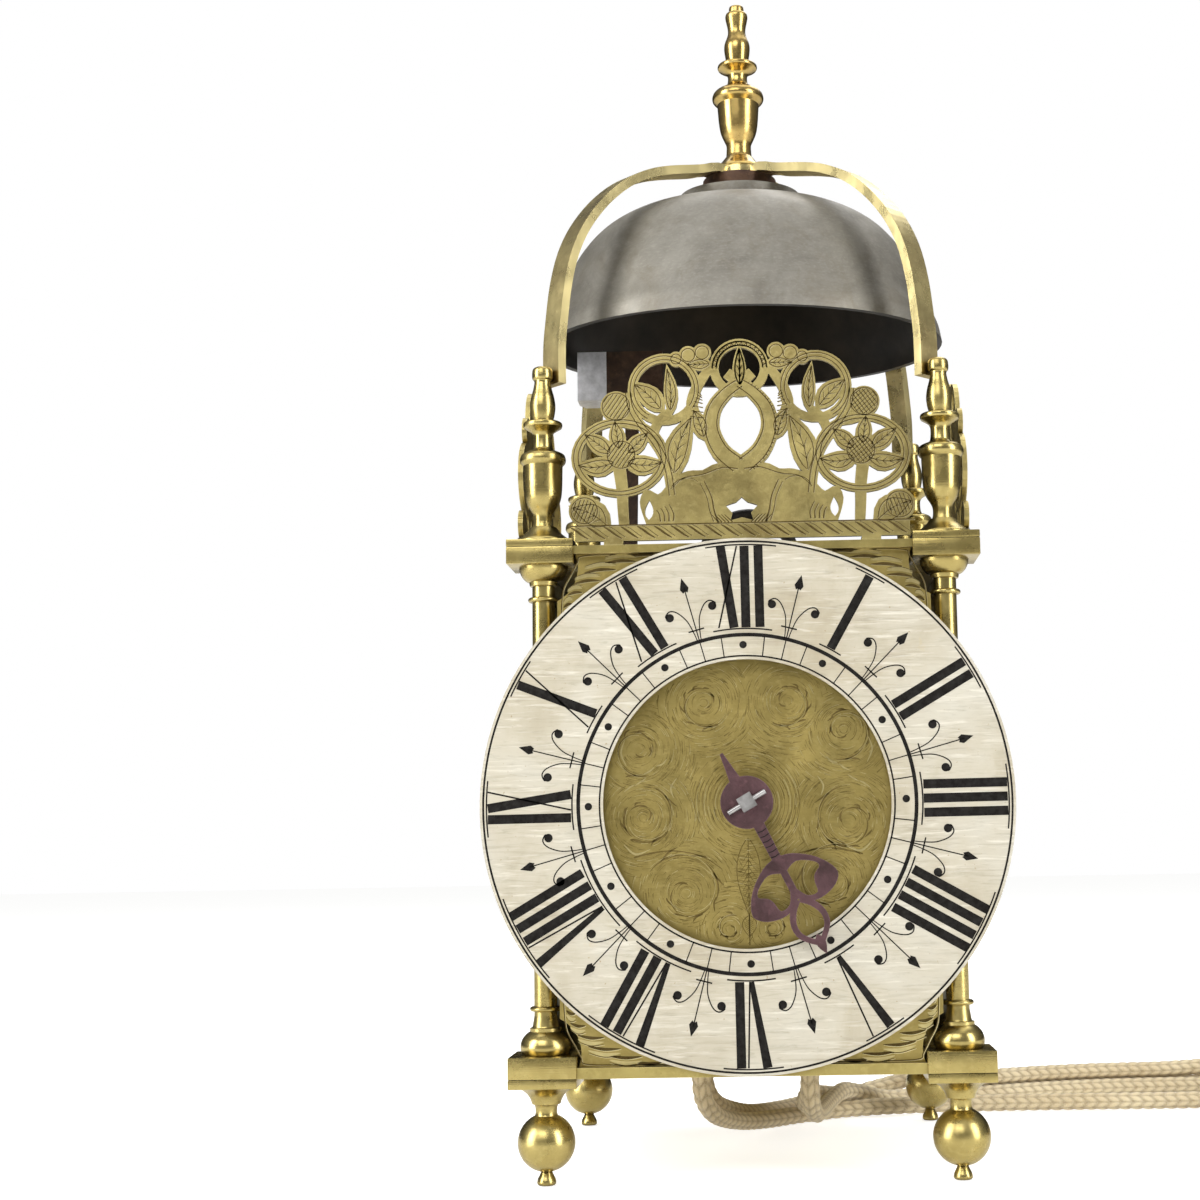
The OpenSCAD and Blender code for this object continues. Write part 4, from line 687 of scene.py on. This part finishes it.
CROWN = raised(CROWN_Z, [
    [(8.7, 0), (8.7, 1.2)], [(8.7, 1.2), (8.0, 2.4), (6.4, 4.0), (5.2, 5.6)],
    [(5.2, 5.6), (4.6, 6.4), (4.4, 8.6), (4.4, 10.6), (5.1, 12.4), (6.0, 14.4), (6.6, 16.6), (7.0, 19.6),
     (7.25, 23.0), (7.45, 25.6)],
    [(7.45, 25.6), (8.1, 26.2)],
    [(8.1, 26.2), (9.0, 27.2), (9.2, 28.4), (8.7, 29.8), (7.4, 31.0), (5.4, 32.0), (4.0, 33.0), (3.5, 34.6),
     (3.5, 36.4), (4.2, 37.6), (5.8, 38.6), (6.9, 39.2)],
    [(6.9, 39.2), (7.1, 39.8), (6.7, 40.6), (4.6, 41.0)],
    [(3.8, 41.2), (4.2, 43.4), (4.6, 46.6), (4.4, 48.8), (3.6, 51.0), (3.15, 52.8), (3.25, 54.8), (3.7, 57.0),
     (4.0, 58.8), (3.7, 60.0), (2.8, 60.5)],
    [(2.7, 60.6), (2.6, 62.2), (2.2, 62.8), (0.4, 62.9)]])
for place_name, (px, py) in PLACES.items():
    turned("foot_" + place_name, FOOT, px, py, turned_brass, FOOT_BLOCK)
    turned("pillar_" + place_name, PILLAR, px, py, turned_brass, PILLAR_BLOCKS)
    turned("finial_" + place_name, FINIAL, px, py, turned_brass, FINIAL_BLOCK)
turned("crown_finial", CROWN, 0, 0, crown_brass)

# The bell: dome, lip, inside, and the low step round its crown, leaning as it hangs
BELL_R = 70.5
BELL_H = 55.0
BELL_T = 2.6
BELL_LEAN = 3.4
BELL_TOP = 331.0
BELL_HOLE = 3.1
STEP_R = 21.4
# outline as shares of the bell's radius and height
DOME = [(1, 0), (0.985, 0.09), (0.95, 0.2), (0.905, 0.35), (0.85, 0.5), (0.785, 0.63), (0.69, 0.75),
        (0.565, 0.84), (0.42, 0.893), (0.303, 0.918)]


def bell_runs():
    dome = [(r * BELL_R, z * BELL_H) for r, z in DOME]
    inner = 1 - BELL_T / BELL_R
    low = 1 - BELL_T / BELL_H
    hollow = [(r * inner, z * low) for r, z in dome + [(0.16 * BELL_R, 0.985 * BELL_H), (BELL_HOLE, BELL_H)]]
    step = (STEP_R - 0.4, BELL_H - 0.1)
    hole = (BELL_HOLE, BELL_H)
    return [dome, [dome[-1], (STEP_R, BELL_H - 0.4), step], [step, hole],
            [hole, (BELL_HOLE, hollow[-1][1])], hollow[::-1]]


lean = Matrix.Translation((0, 0, BELL_TOP * MM)) @ Matrix.Rotation(math.radians(BELL_LEAN), 4, "X")
lean @= Matrix.Translation((0, 0, -BELL_H * MM))
turned("bell", bell_runs(), 0, 0, bell_metal, pose=lean, ring_shaped=True)


# Floor and light
FLOOR_REACH = 6
FLOOR_DROP = -0.0003


def stage():
    sh = Shader("floor_white")
    sh.feed("Base Color", (0.80, 0.80, 0.795, 1))
    sh.feed("Roughness", 0.75)
    sh.feed("Emission Color", (1, 1, 0.995, 1))
    seen_by = sh.add("LightPath")
    sh.feed("Emission Strength", sh.spread(seen_by.outputs["Is Camera Ray"], 0.22, 0.72, 0.0, 1.0))
    square = ((-1, -1), (1, -1), (1, 1), (-1, 1))
    corners = [(x * FLOOR_REACH, y * FLOOR_REACH, FLOOR_DROP) for x, y in square]
    me = bpy.data.meshes.new("floor")
    me.from_pydata(corners, [], [(0, 1, 2, 3)])
    me.materials.append(sh.mat)
    ob = bpy.data.objects.new("floor", me)
    scene.collection.objects.link(ob)

    # white to the camera, and a grey room to everything else
    world = bpy.data.worlds.new("studio")
    scene.world = world
    world.use_nodes = True
    world.node_tree.nodes.clear()
    new, join = world.node_tree.nodes.new, world.node_tree.links.new
    seen = new("ShaderNodeBackground")
    seen.inputs["Color"].default_value = (1, 1, 1, 1)
    seen.inputs["Strength"].default_value = 1.0
    room = new("ShaderNodeBackground")
    place = new("ShaderNodeTexCoord")
    axes = new("ShaderNodeSeparateXYZ")
    join(place.outputs["Generated"], axes.inputs[0])
    height = new("ShaderNodeValToRGB")
    e = height.color_ramp.elements
    e[0].position, e[0].color = 0.0, (0.30, 0.29, 0.27, 1)
    e[1].position, e[1].color = 0.7, (0.95, 0.95, 0.94, 1)
    join(axes.outputs["Z"], height.inputs["Fac"])
    join(height.outputs["Color"], room.inputs["Color"])
    # darker behind the clock, so that round pieces have dark edges
    back = new("ShaderNodeMapRange")
    for key, value in (("From Min", -0.1), ("From Max", 0.9), ("To Min", 0.5), ("To Max", 0.05)):
        back.inputs[key].default_value = value
    join(axes.outputs["Y"], back.inputs["Value"])
    join(back.outputs["Result"], room.inputs["Strength"])
    ray = new("ShaderNodeLightPath")
    either = new("ShaderNodeMixShader")
    join(ray.outputs["Is Camera Ray"], either.inputs[0])
    join(room.outputs[0], either.inputs[1])
    join(seen.outputs[0], either.inputs[2])
    join(either.outputs[0], new("ShaderNodeOutputWorld").inputs[0])

    aim = Vector((0, 0, 0.2))

    def area(name, at, size, power):
        data = bpy.data.lights.new(name, "AREA")
        data.shape = "RECTANGLE"
        data.size, data.size_y = size
        data.energy = power
        ob = bpy.data.objects.new(name, data)
        scene.collection.objects.link(ob)
        ob.location = at
        ob.rotation_euler = (aim - Vector(at)).to_track_quat("-Z", "Y").to_euler()

    area("left", (-1.25, -0.70, 0.60), (0.6, 1.3), 21)
    area("right", (1.20, -0.80, 0.60), (0.5, 1.3), 16)
    area("front", (-0.45, -1.60, 1.35), (1.2, 0.8), 12)
    area("above", (0.1, 0.2, 1.7), (1.6, 1.6), 12)
    area("behind", (0.3, 1.1, 1.7), (1.2, 0.8), 9)
    scene.view_settings.view_transform = "Standard"


stage()


# Flat drawings laid on a surface
class Drawing:
    """Strokes and faces on a plane, with its x to the right and its second axis up"""

    def __init__(self, bold=1.0):
        self.v, self.f, self.bold = [], [], bold

    def line(self, pts, w0, w1=None, belly=0.0):
        """A stroke w0 wide at its start, w1 at its end, and belly wider in the middle"""
        w1 = w0 if w1 is None else w1
        P = np.array(pts, float)
        T = np.gradient(P, axis=0)
        T /= np.maximum(np.linalg.norm(T, axis=1), 1e-9)[:, None]
        n = len(P)
        base = len(self.v)
        for i in range(n):
            t = i / (n - 1)
            w = (w0 + (w1 - w0) * t + belly * math.sin(math.pi * t)) * self.bold / 2
            nx, ny = -T[i][1] * w, T[i][0] * w
            self.v += [(P[i][0] + nx, P[i][1] + ny), (P[i][0] - nx, P[i][1] - ny)]
        for i in range(n - 1):
            a = base + 2 * i
            self.f.append((a, a + 1, a + 3, a + 2))

    def arc(self, c, r, a0, a1, w, w1=None, n=24):
        self.line(round_run(c, r, a0, a1, n), w, w1)

    def circle(self, c, r, w, n=180):
        self.arc(c, r, 0, 360, w, n=n)

    def poly(self, pts):
        base = len(self.v)
        self.v += [tuple(p) for p in pts]
        self.f.append(tuple(range(base, base + len(pts))))

    def disc(self, c, r, n=20):
        self.poly(round_run(c, r, 0, 360, n)[:-1])

    def moved(self, fn, mirrored=False):
        d = Drawing()
        d.v = [fn(p) for p in self.v]
        d.f = [f[::-1] if mirrored else f for f in self.f]
        return d

    def add(self, other):
        base = len(self.v)
        self.v += other.v
        self.f += [tuple(i + base for i in f) for f in other.f]

    def lay(self, name, where, body, mat):
        """Make it a piece whose points are where(x, z), in millimetres"""
        me = bpy.data.meshes.new(name)
        me.from_pydata([[c * MM for c in where(x, z)] for x, z in self.v], [], self.f)
        me.update()
        add_piece(name, me, mat, body)


GLINT = 0.17
LIFT = 0.03


def cut(name, drawing, where):
    """An engraved drawing: dark strokes, and beside each the bright edge that catches the light"""
    drawing.moved(lambda p: (p[0] + GLINT, p[1] - GLINT)).lay(
        name + "_glint", lambda x, z: where(x, z, LIFT / 2), "case", cut_glint)
    drawing.lay(name, lambda x, z: where(x, z, LIFT), "case", cut_line)


# The ring's centre, the faces that are engraved, how far ring and hand are turned, the dial's middle
RING_C = (0.0, 113.9)
RING_Y = -74.3
RING_TURN = 0.4
DIAL_Y = -69.2
FRET_Y = -72.4
FRET_Z = 195.6
HAND_Y = -78.7
HAND_TURN = 153
CENTRE_R = 43.9


def numeral(text):
    """An upright Roman numeral round x = 0, above the ring's centre, with its two serif arcs"""
    d = Drawing()
    lo, hi, thick, thin = 53.6, 79.0, 2.8, 0.5
    width = {"I": 4.3, "V": 7.2, "X": 6.4}
    total = sum(width[c] for c in text)
    x = -total / 2
    for c in text:
        w = width[c]
        if c == "I":
            d.line([(x + w / 2, lo), (x + w / 2, hi)], thick)
        elif c == "V":
            apex = x + w * (0.58 if text == "V" else 0.8)
            d.line([(x + 1.5, hi), (apex, lo)], thick, thick * 0.55)
            d.line([(x + w + (0.5 if text == "V" else 0.0), hi), (apex + 0.5, lo)], thin)
        else:
            d.line([(x + 1.2, hi), (x + w - 1.5, lo)], thick)
            d.line([(x + w - 0.2, hi), (x + 0.2, lo)], thin)
        x += w
    for r, reach in ((53.3, total / 2 + 1.6), (79.4, total * 0.56 + 2.6)):
        half = math.degrees(reach / r)
        d.line([turn((0, r), -a) for a in np.linspace(-half, half, 14)], 0.45)
    return d


def half_hour():
    """A stem with two curls and a dart"""
    m = Drawing()
    m.line([(0, 51.4), (0, 69)], 0.36)
    m.line([(-2.5, 55), (2.5, 55)], 0.45)
    m.poly([(0, 71.8), (-1.4, 68.4), (-0.7, 67.0), (0, 67.6), (0.7, 67.0), (1.4, 68.4)])
    for s in (-1, 1):
        curl = [(0.6, 51.6), (1.0, 54.5), (2, 58.5), (4.2, 61.8), (6.3, 62.8), (7.9, 61.7), (7.6, 60.9)]
        m.line(smooth(mirror(s, curl), 6), 0.3, 0.45)
        m.disc((s * 6.8, 60.9), 1.3)
    return m


def ring_drawing():
    d = Drawing()
    for r, w in ((80.4, 0.6), (51.4, 1.15), (44.9, 0.5)):
        d.circle((0, 0), r, w)
    names = ["XII", "I", "II", "III", "IIII", "V", "VI", "VII", "VIII", "IX", "X", "XI"]
    for h, text in enumerate(names):
        d.add(numeral(text).moved(lambda p, h=h: turn(p, -30 * h)))
        d.disc(turn((0, 48.3), -30 * h), 1.15)
        for q in (7.5, 15, 22.5):
            a = -30 * h - q
            d.line([turn((0, 44.9), a), turn((0, 51.2), a)], 0.34)
        d.add(half_hour().moved(lambda p, h=h: turn(p, -30 * h - 15)))
    return d


ring_drawing().moved(lambda p: turn(p, RING_TURN)).lay(
    "ring_numerals", lambda x, z: (RING_C[0] + x, RING_Y - LIFT, RING_C[1] + z), "case", black_wax)


def leaf_lines(d, a, b, w, bend=0.0, veins=4, line=0.26):
    """A leaf's outline, midrib and veins"""
    a, b = np.array(a, float), np.array(b, float)
    v = b - a
    n = np.array((-v[1], v[0])) / np.linalg.norm(v)

    def at(t, s=0.0):
        return a + v * t + n * (bend * math.sin(math.pi * t) + s * w / 2 * math.sin(math.pi * t ** 0.8))
    for s in (-1, 1):
        d.line([at(t, s) for t in np.linspace(0.02, 1, 11)], line)
    d.line([at(t) for t in np.linspace(0, 1, 9)], line, line * 0.5)
    for k in range(veins):
        t = 0.2 + 0.6 * k / max(1, veins - 1)
        for s in (-1, 1):
            p, q = at(t), at(min(1, t + 0.14), s * 0.68)
            d.line([p, (p + q) / 2 + v * 0.012, q], line * 0.8, line * 0.35)


def spiral(c, r0, r1, a0, sweep, n=48):
    return [polar(c, r0 + (r1 - r0) * t, a0 + sweep * t) for t in (i / n for i in range(n + 1))]


# Scrolls on the dial's middle: place, size, where each starts and how far it turns
SCROLLS = [
    ((31, -6), 11, 100, 470), ((-32, -4), 10, 70, -470), ((30, 22), 9.5, 250, 430),
    ((-33, 17), 8.5, 290, -430), ((-19, -27), 13, 150, -450), ((25, -24), 12, 40, 450),
    ((13, 31), 8, 230, 400), ((-13, 31), 8, 310, -400), ((-6, -38), 4.5, 60, 380),
    ((7, -38), 4.5, 120, -380)]
GROUND_CUTS = 2600


def dial_engraving():
    """Foliage on the dial's middle, its swirled ground, and bright cuts in it painted as highlights"""
    d, f, g = Drawing(), Drawing(), Drawing()
    for c, r, a0, sw in SCROLLS:
        s = 1 if sw > 0 else -1
        pts = spiral(c, r, r * 0.16, a0, sw, 60)
        for k in range(0, 60, 12):
            off = 0.35 * math.sin(2.3 * k)
            d.line([(x + off, z - off * 0.6) for x, z in pts[k:k + 11]], 0.1, 0.1, 0.42)
        f.line(spiral(c, r * 0.9, r * 0.2, a0 + 14 * s, sw * 0.9), 0.2, 0.12)
        g.line(spiral(c, r * 1.04, r * 0.5, a0 + 6 * s, sw * 0.45), 0.1, 0.16)
        for k in range(3, 44, 6):
            p, q = pts[k], pts[k + 6]
            out = [v + (v - m) * 0.30 + (w - v) * 0.8 for v, w, m in zip(p, q, c)]
            if math.hypot(*out) < CENTRE_R - 1:
                mid = ((p[0] + out[0]) / 2 + s * 0.5, (p[1] + out[1]) / 2 + 0.3)
                d.line(smooth([p, mid, out], 4), 0.14, 0.1, 0.45)
    # the long stem at the lower left, and its twin
    for s in (-1, 1):
        stem = mirror(s, [(35, -16), (29, -14.6), (22, -14.2), (14, -16), (8, -20)])
        d.line(smooth(stem, 6), 0.5, 0.2)
        g.line(smooth(mirror(s, [(38, -12), (34.5, -15), (30, -13.6)]), 5), 0.15, 0.1, 0.5)
        for k, (x, z) in enumerate(((24.5, 14), (28.4, 11.6), (31, 8.2), (34.5, 6.2))):
            glint = mirror(s, [(x, z), (x + 1.4, z - 1.6 + 0.3 * k), (x + 3.4, z - 2.2)])
            g.line(smooth(glint, 5), 0.1, 0.08, 0.4)
        g.line(smooth(mirror(s, [(37, 12), (38.6, 16), (37.4, 20)]), 5), 0.12, 0.1, 0.4)
        g.line(smooth(mirror(s, [(22.6, 2), (23.4, 5), (21.6, 8)]), 5), 0.12, 0.1, 0.4)
    # arcs scribed round the centre, with painted highlights on some
    for k in range(7):
        for a0, a1 in ((-62, 104), (118, 236)):
            f.arc((0, 0), 9.2 + 1.15 * k, a0 + 7 * k, a1 - 5 * k, 0.2, 0.1)
    for k in (0, 3, 5):
        g.arc((0, 0), 9.8 + 1.15 * k, -40 + 9 * k, 20 + 4 * k, 0.08, 0.3)
        g.arc((0, 0), 9.8 + 1.15 * k, 140 + 5 * k, 190 + 2 * k, 0.08, 0.3)
    # the tall hatched leaf under the centre, on a stem with a small flower
    for z0, z1, w in ((-10.5, -34, 7.2), (-34, -40.5, 4.4)):
        leaf_lines(d, (0, z0), (0, z1), w, 0, 8, 0.26)
    for k in range(16):
        z = -13 - 1.2 * k
        w = 3.0 * math.sin(math.pi * (k + 1.5) / 18)
        f.line([(-w, z + 0.5), (w, z - 0.5)], 0.14)
        f.line([(-w, z - 0.5), (w, z + 0.5)], 0.12)
    d.line([(0, -34), (0, -43)], 0.35)
    # swirled ground: short cuts that follow the nearest scroll, some drawn as painted highlights
    for k in range(GROUND_CUTS):
        r = (CENTRE_R - 0.6) * math.sqrt(rnd.random())
        a = rnd.random() * 2 * math.pi
        x, y = r * math.cos(a), r * math.sin(a)
        c = min([s[0] for s in SCROLLS] + [(0, 0)], key=lambda c: math.hypot(x - c[0], y - c[1]))
        q = max(1.2, math.hypot(x - c[0], y - c[1]))
        b = math.degrees(math.atan2(y - c[1], x - c[0]))
        span = math.degrees((1.2 + 3.2 * rnd.random()) / q)
        if math.hypot(*polar(c, q, b + span)) < CENTRE_R:
            (g if rnd.random() < 0.15 else f).arc(c, q, b, b + span, 0.2, 0.06, 6)
    return d, f, g


def dial_place(lift):
    return lambda x, z: (x, DIAL_Y - lift, RING_C[1] + z)


foliage, ground, bright = dial_engraving()
foliage.lay("dial_foliage", dial_place(LIFT), "case", dial_cut)
ground.lay("dial_matting", dial_place(lift=0.02), "case", fine_cut)
# painted highlights: the bright strokes on the dial's middle
bright.lay("dial_glint_cuts", dial_place(lift=0.04), "case", dial_glint)


def corner_engraving():
    """Shells in the four corners of the dial plate: dark cuts, the flutes between them as bright painted
    highlights, and a painted shade line along each flute
    """
    d, g = Drawing(), Drawing()
    cuts = [((54.8, 65.4), (50.2, 66.2)), ((52.6, 69.0), (44.6, 69.8)), ((49.4, 72.4), (39.6, 73.2)),
            ((43.0, 75.3), (33.2, 75.6)), ((35.4, 77.2), (26.8, 77.4)), ((56.0, 61.6), (53.2, 62.6)),
            ((56.2, 57.4), (54.6, 58.6))]
    edge = [(56.8, 56), (56.6, 62.5), (55.9, 67.6), (53.6, 72), (51.6, 75.8), (50.2, 77.6), (40, 78),
            (22, 78)]
    for sx in (-1, 1):
        for sz in (-1, 1):
            for p, q in cuts:
                mid = ((p[0] + q[0]) / 2, (p[1] + q[1]) / 2 + 0.5)
                d.line(smooth([(sx * v[0], sz * v[1]) for v in (p, mid, q)], 5), 0.3, 0.15, 0.75)
                low = ((p[0] + q[0]) / 2, (p[1] + q[1]) / 2 + 2.1)
                flute = ((p[0], p[1] + 1.2), low, (q[0], q[1] + 1.3))
                flute = smooth([(sx * v[0], sz * v[1]) for v in flute], 5)
                # painted highlight: each flute is a broad bright sliver
                g.line(flute, 0.2, 0.1, 1.0)
                # painted shade: a thin dark line along one side of each flute
                d.line([(x, z + sz * 0.75) for x, z in flute], 0.12, 0.1, 0.15)
            d.line(smooth([(sx * x, sz * z) for x, z in edge], 5), 0.34)
    return d, g


corner_cuts, corner_flute_highlights = corner_engraving()
cut("dial_corners", corner_cuts, lambda x, z, lift: (x, DIAL_Y - lift, RING_C[1] + z))
corner_flute_highlights.lay("dial_corner_flute_highlights", dial_place(lift=0.045), "case", dial_glint)


def hatch(d, c, r, deg, w=0.2):
    """Parallel strokes inside a circle"""
    pitch = 1.1
    for k in np.arange(-r + pitch / 2, r, pitch):
        h = math.sqrt(max(0, r * r - k * k)) * 0.92
        p, q = turn((k, -h), deg), turn((k, h), deg)
        d.line([(c[0] + p[0], c[1] + p[1]), (c[0] + q[0], c[1] + q[1])], w)


def along(d, way, w0, w1, offset, width):
    """A line beside the middle of a band that narrows from w0 to w1; offset 1 is its edge"""
    T = np.gradient(np.array(way), axis=0)
    n = len(way) - 1
    out = []
    for i, (p, t) in enumerate(zip(way, T)):
        t = t / np.linalg.norm(t)
        w = (w0 + (w1 - w0) * i / n) / 2 * offset
        out.append((p[0] - t[1] * w, p[1] + t[0] * w))
    d.line(out, width)
    return out


def fret_side(hatched):
    """Engraving of one half of a fret, x from its middle and z over its foot; hatched adds strokes"""
    h = Drawing(1.5)
    h.line([(0, 4.9), (53.4, 4.9)], 0.26)
    # dolphin: gill, cheek, fin strokes, eye and mouth
    h.line(smooth([(7.4, 5.2), (8.6, 9), (9.4, 13.4), (11.6, 18.4)], 5), 0.36, 0.18)
    h.line(smooth([(8.8, 5.4), (10.0, 9.2), (10.8, 13.2), (12.8, 17.6)], 5), 0.2, 0.12)
    for k in range(4):
        fin = [(21.4 + 1.3 * k, 5.8), (21.2 + 1.5 * k, 8.2), (22.6 + 1.3 * k, 11.2 - 0.6 * k)]
        h.line(smooth(fin, 4), 0.3, 0.14)
    for k in range(5):
        h.line([(2.9 + 1.1 * k, 5.2), (5.4 + 1.0 * k, 7.6)], 0.3, 0.12)
    h.arc((17, 14), 5.4, 30, 130, 0.16, 0.1)
    h.line(smooth([(1, 22), (6, 22.4), (12, 20.4), (18, 19.4), (22, 16)], 5), 0.24, 0.14)
    # tail: a line inside each edge, short strokes across the outer one
    tail = smooth([(1, 23), (6.2, 27.6), (9.1, 34.4), (8.3, 41), (4.6, 46), (0, 49.4)], 6)
    along(h, tail, 6.8, 3.8, 0.72, 0.22)
    side = along(h, tail, 6.8, 3.8, -0.66, 0.22)
    edge = along(Drawing(), tail, 6.8, 3.8, -0.94, 0.2)
    if hatched:
        for p, q in list(zip(side, edge))[2:-3]:
            h.line([p, q], 0.2, 0.14)
    # leaves and petals of the outline, each with a line inside its edge and its veins
    for a, b, w, bend in (
            ((40.6, 4.2), (54, 11.4), 9.4, 1), ((11, 31), (15, 42), 5.6, 0.4), ((0, 47), (0, 62), 4.4, 0),
            ((8.2, 55.6), (17.4, 55.6), 4.4, 0), ((21.6, 39), (22.8, 56), 4.6, 0.6),
            ((23.6, 40.4), (34, 50.6), 7, 0.6), ((21.8, 18.4), (14.6, 40.8), 8.6, -1.2),
            ((38, 24.8), (52.2, 24), 6.4, -1), ((37, 24.8), (23.2, 24.6), 6.6, 1),
            ((39.6, 27), (49.6, 34.6), 6, 0), ((36, 27), (28.2, 34.8), 5.6, 0),
            ((37.8, 28), (39.4, 39), 5.4, 0)):
        p = (a[0] + (b[0] - a[0]) * 0.12, a[1] + (b[1] - a[1]) * 0.12)
        q = (a[0] + (b[0] - a[0]) * 0.90, a[1] + (b[1] - a[1]) * 0.90)
        leaf_lines(h, p, q, w * 0.66, bend, 4, 0.2)
    # scrolls: two lines inside the edges of each
    for r in (9.5, 10.7):
        h.arc((23.6, 47.8), r, -60, 215, 0.2, n=48)
    way_round = np.linspace(0, 2 * math.pi, 60)
    for r in (10.8, 12.0):
        h.line([(37.8 + 1.2 * r * math.cos(a), 26.4 + r * math.sin(a)) for a in way_round], 0.2)
    stem = smooth([(35, 47), (34.2, 42), (31.4, 37), (27.8, 32.4), (24.6, 27.2), (22.6, 21.4), (21.6, 14)], 5)
    along(h, stem, 2.8, 3.4, 0.5, 0.2)
    along(h, stem, 2.8, 3.4, -0.5, 0.2)
    for r in (7.3, 8.5):
        h.arc((0, 54.2), r, 0, 180, 0.2, n=40)
    for a in range(4, 180, 11):
        p, q = turn((7.4, 0), a), turn((8.6, 0), a + 5)
        h.line([(p[0], p[1] + 54.2), (q[0], q[1] + 54.2)], 0.22, 0.12)
    # hatched bosses and the plain berries at the top
    upper, middle, lower = (38.8, 42.6), (37.4, 27.2), (49, 9.7)
    hatch(h, upper, 4.2, 35)
    hatch(h, middle, 4.2, 35)
    hatch(h, lower, 3.8, 20)
    if hatched:
        hatch(h, upper, 4.2, -50, w=0.12)
        hatch(h, middle, 4.2, -50, w=0.12)
    berries = (((11.6, 59.3), 2.1), ((16, 58.6), 2.1), ((19.8, 57.4), 1.6))
    for c, r in ((upper, 4.3), (middle, 4.3), (lower, 4.1), *berries):
        h.circle(c, r, 0.2, 36)
    # hatched neck of the stem beside the tails
    for k in range(7):
        p = (11.4 + 0.1 * k, 38.4 + 1.9 * k - 0.12 * k * k)
        q = (15.6 - 0.45 * k, 38.9 + 1.9 * k - 0.1 * k * k)
        h.line([p, q], 0.2, 0.14)
    return h


def fret_engraving():
    """Both halves of a fret, with more hatching on the right, and the leaves along its foot"""
    d = Drawing()
    d.add(fret_side(True))
    d.add(fret_side(False).moved(lambda p: (-p[0], p[1]), True))
    # slanted leaves along the foot
    for k in range(20):
        x = -50.6 + 5.2 * k
        d.line(smooth([(x - 2.8, 4.5), (x - 1.2, 3.5), (x + 0.9, 1.9), (x + 2.8, 0.7)], 4), 0.25, 0.25, 0.45)
        d.line(smooth([(x - 1.2, 4.6), (x + 0.6, 3.6), (x + 2.5, 2.1), (x + 3.8, 1.2)], 4), 0.2, 0.2)
    return d


lines = fret_engraving()
cut("front_fret_lines", lines, lambda x, z, lift: (x, FRET_Y - lift, FRET_Z + z))
cut("left_fret_lines", lines, lambda x, z, lift: (FRET_Y - lift, -x, FRET_Z + z))
cut("right_fret_lines", lines, lambda x, z, lift: (-FRET_Y + lift, x, FRET_Z + z))


def hand_ribs():
    """Filed grooves across the hand's neck"""
    d = Drawing()
    for k in range(6):
        z = 9.6 + 1.7 * k
        d.line([(-1.5, z), (0, z + 0.25), (1.5, z)], 0.3)
    return d


hand_ribs().moved(lambda p: turn(p, -HAND_TURN)).lay(
    "hand_ribs", lambda x, z: (RING_C[0] + x, HAND_Y - LIFT, RING_C[1] + z), "hour", black_wax)

# Finish of the pieces that come from the source
FINISH = {
    "bell_strap": strap_brass, "strap_pins": turned_brass, "crown_finial": crown_brass, "bell": bell_metal,
    "bell_washer": brown_iron, "dial_plate": dial_brass, "hour_hand": hand_iron, "hammer": hammer_iron,
}
for mat, names in (
        (plate_brass, ("bottom_plate", "top_plate")), (steel, ("bell_nut", "fret_screws", "hand_pin")),
        (fret_brass, ("front_fret", "left_fret", "right_fret")), (silvered, ("chapter_ring", "ring_feet")),
        (case_brass, ("left_door", "right_door")),
        (black_iron, ("back_plate", "hanging_hoop", "wall_spurs", "anchor", "strike_click", "hammer_spring",
                      "lifting_piece", "locking_detent"))):
    FINISH.update(dict.fromkeys(names, mat))
# wheels have steel arbors and pinions
ARBOR_R = 5 * MM
for name in ("going_great_wheel", "second_wheel", "escape_wheel", "hoop_wheel", "warning_wheel",
             "strike_great_wheel", "count_wheel", "fly"):
    low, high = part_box(name)
    FINISH[name] = steel_where(movement_finish(name + "_brass"), near_arbor((low + high) / 2, ARBOR_R))
FINISH["hour_wheel"] = steel_where(movement_finish("hour_wheel_brass"), below(1, -62 * MM))
for name, ob in NODES.items():
    if name.startswith(("pillar_", "foot_", "finial_")):
        mat = turned_brass
    else:
        mat = FINISH.get(name, movement_brass)
    if not name.startswith("rope_"):
        ob.data.materials.clear()
        ob.data.materials.append(mat)
